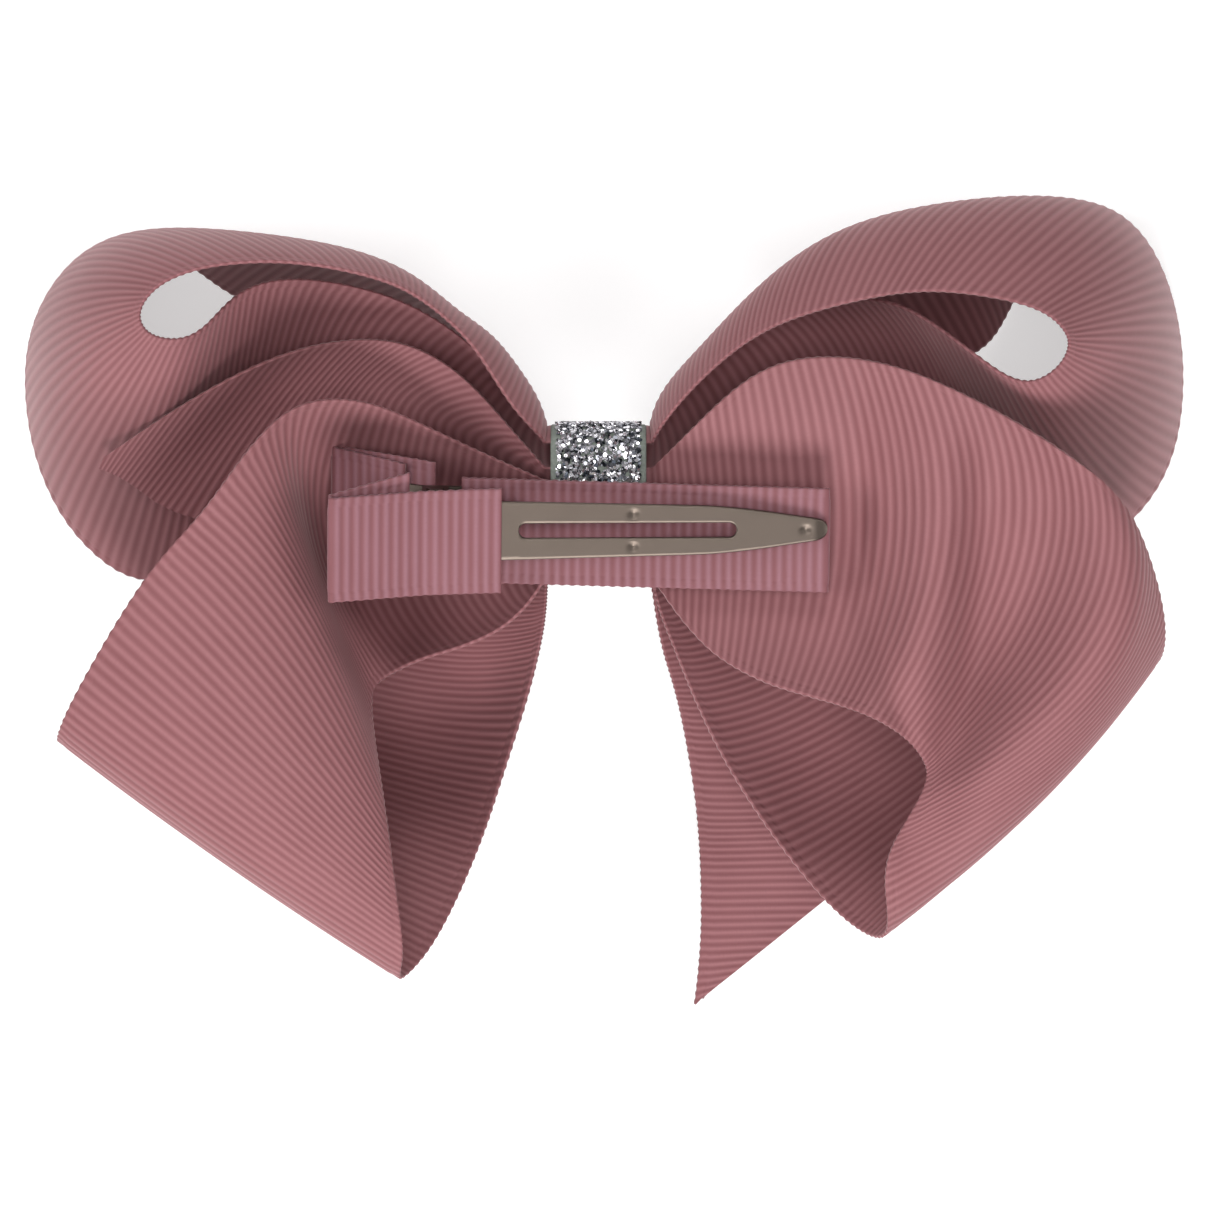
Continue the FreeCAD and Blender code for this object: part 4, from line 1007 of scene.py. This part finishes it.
def glue_blob(material):
    """The set glue squeezed out between the band and the clip's lining."""
    low, high = box_of("glue_pad")
    centre, half = (low + high) / 2, (high - low) / 2
    top = in_clip([(0, 0, LINING_FACE)])[0]
    points = []
    for j in range(GLUE_LAYERS):
        lift = -1 + 2 * j / (GLUE_LAYERS - 1)
        bulge = 0.9 + 0.1 * math.sqrt(1 - lift * lift)
        for turn in range(GLUE_TURNS):
            angle = 2 * math.pi * turn / GLUE_TURNS
            wobble = 1 + 0.04 * math.sin(3 * angle + 0.5) + 0.03 * math.sin(7 * angle)
            c, s = math.cos(angle), math.sin(angle)
            reach = bulge * wobble * (abs(c) ** 4 + abs(s) ** 4) ** -0.25 * GLUE_FILL
            x, y = centre[0] + half[0] * reach * c, centre[1] + half[1] * reach * s
            ceiling = top[2] - ((y - top[1]) * UPWARD[1] + (x - top[0]) * UPWARD[0]) / UPWARD[2]
            z = low[2] - GLUE_SINK + (ceiling + GLUE_SINK - low[2]) * (lift + 1) / 2
            points.append((x, y, z))
    ends = points[:GLUE_TURNS], points[-GLUE_TURNS:]
    points += [tuple(np.mean(ring, axis=0)) for ring in ends]
    faces = capped_faces(GLUE_LAYERS, GLUE_TURNS)
    piece = new_piece("glue_bead", np.array(points), faces, material)
    tidy_normals(piece)
    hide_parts("glue_pad")


def make_knot(cloth):
    """Everything in the knot but the thread, which keeps its CAD mesh."""
    bundle = pleats(cloth)
    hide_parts("pleated_core")
    ground = grainy_material("band_ground", BAND_COLOURS, (3500.0, 3500.0, 3500.0), 0.75)
    strip = band_strip(ground)
    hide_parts("glitter_band")
    flakes = glitter_flakes(flake_material())
    glue_blob(glue_material())


# ------------ stage, lights and camera

TOP_HIGH, TOP_SIZE, TOP_POWER = 1.3, 0.55, 5.6
SIDE_OUT, SIDE_HIGH, SIDE_SIZE = 0.70, 0.55, 0.45
SIDE_LIGHTS = [("right", 0, 1.6), ("back", 90, 2.6), ("left", 180, 3.6), ("front", 270, 8.0)]
FLOOR_HALF = 3.0
WORLD_POWER = 0.20


def area_light(name, place, aim, size, power):
    data = bpy.data.lights.new(name, "AREA")
    data.shape = "DISK"
    data.size = size
    data.energy = power
    light = into_scene(name, data)
    light.location = place
    light.rotation_euler = (Vector(aim) - Vector(place)).to_track_quat("-Z", "Y").to_euler()


def make_stage():
    """The floor, a dim white world and soft lights, the strongest in front."""
    half = FLOOR_HALF
    corners = [(-half, -half, 0), (half, -half, 0), (half, half, 0), (-half, half, 0)]
    mesh = bpy.data.meshes.new("floor")
    mesh.from_pydata(corners, [], [(0, 1, 2, 3)])
    mesh.materials.append(floor_material())
    into_scene("floor", mesh)
    world = bpy.data.worlds.new("studio")
    world.use_nodes = True
    background = world.node_tree.nodes["Background"]
    background.inputs["Color"].default_value = (1, 1, 1, 1)
    background.inputs["Strength"].default_value = WORLD_POWER
    bpy.context.scene.world = world
    area_light("top", (0.0, 0.0, TOP_HIGH), (0, 0, 0), TOP_SIZE, TOP_POWER)
    for name, turn, power in SIDE_LIGHTS:
        angle = math.radians(turn)
        place = (SIDE_OUT * math.cos(angle), SIDE_OUT * math.sin(angle), SIDE_HIGH)
        area_light(name, place, (0, 0, 0.02), SIDE_SIZE, power)


CAMERA_HIGH = 0.92     # above the floor, straight over the bow
CAMERA_ASIDE = (0.0002, -0.0004)    # its small offset from the bow's middle
VIEW_WIDE = 0.1214     # width of the view at the height of the knot
KNOT_LEVEL = 0.020


def make_camera():
    data = bpy.data.cameras.new("camera")
    data.sensor_width = 36.0
    data.lens = data.sensor_width * (CAMERA_HIGH - KNOT_LEVEL) / VIEW_WIDE
    data.clip_start = 0.01
    camera = into_scene("camera", data)
    camera.location = (*CAMERA_ASIDE, CAMERA_HIGH)
    bpy.context.scene.camera = camera


# ------------ the bow

PLAIN_FROM = {"left_tail": 3.6, "right_tail": 4.6}    # rib from which a tail's far edge is its slanted cut


def main():
    cloth = grosgrain_material("wide_grosgrain")
    narrow = grosgrain_material("narrow_grosgrain", rib=NARROW_RIB_COLOUR)
    metal = metal_material("satin_nickel", NICKEL_COLOUR, 0.40)
    wire = metal_material("spring_steel", STEEL_COLOUR, 0.25)
    for name in RIBS:
        wide_ribbon(name + "_ribbon", name, cloth, PLAIN_FROM.get(name))
    make_knot(cloth)
    make_clip(metal, wire, narrow)
    thread = grainy_material("thread", THREAD_COLOURS, (9000.0, 2500.0, 2500.0), 0.8)
    kept = {"gathering_thread": thread, "clip_lower_arm": metal, "hinge_pin": metal}
    for name, material in kept.items():
        cad = frame["nodes"][name]
        cad.data.materials.clear()
        cad.data.materials.append(material)
    make_stage()
    make_camera()
    bpy.context.scene.view_settings.view_transform = "Standard"
    bpy.context.view_layer.update()


main()
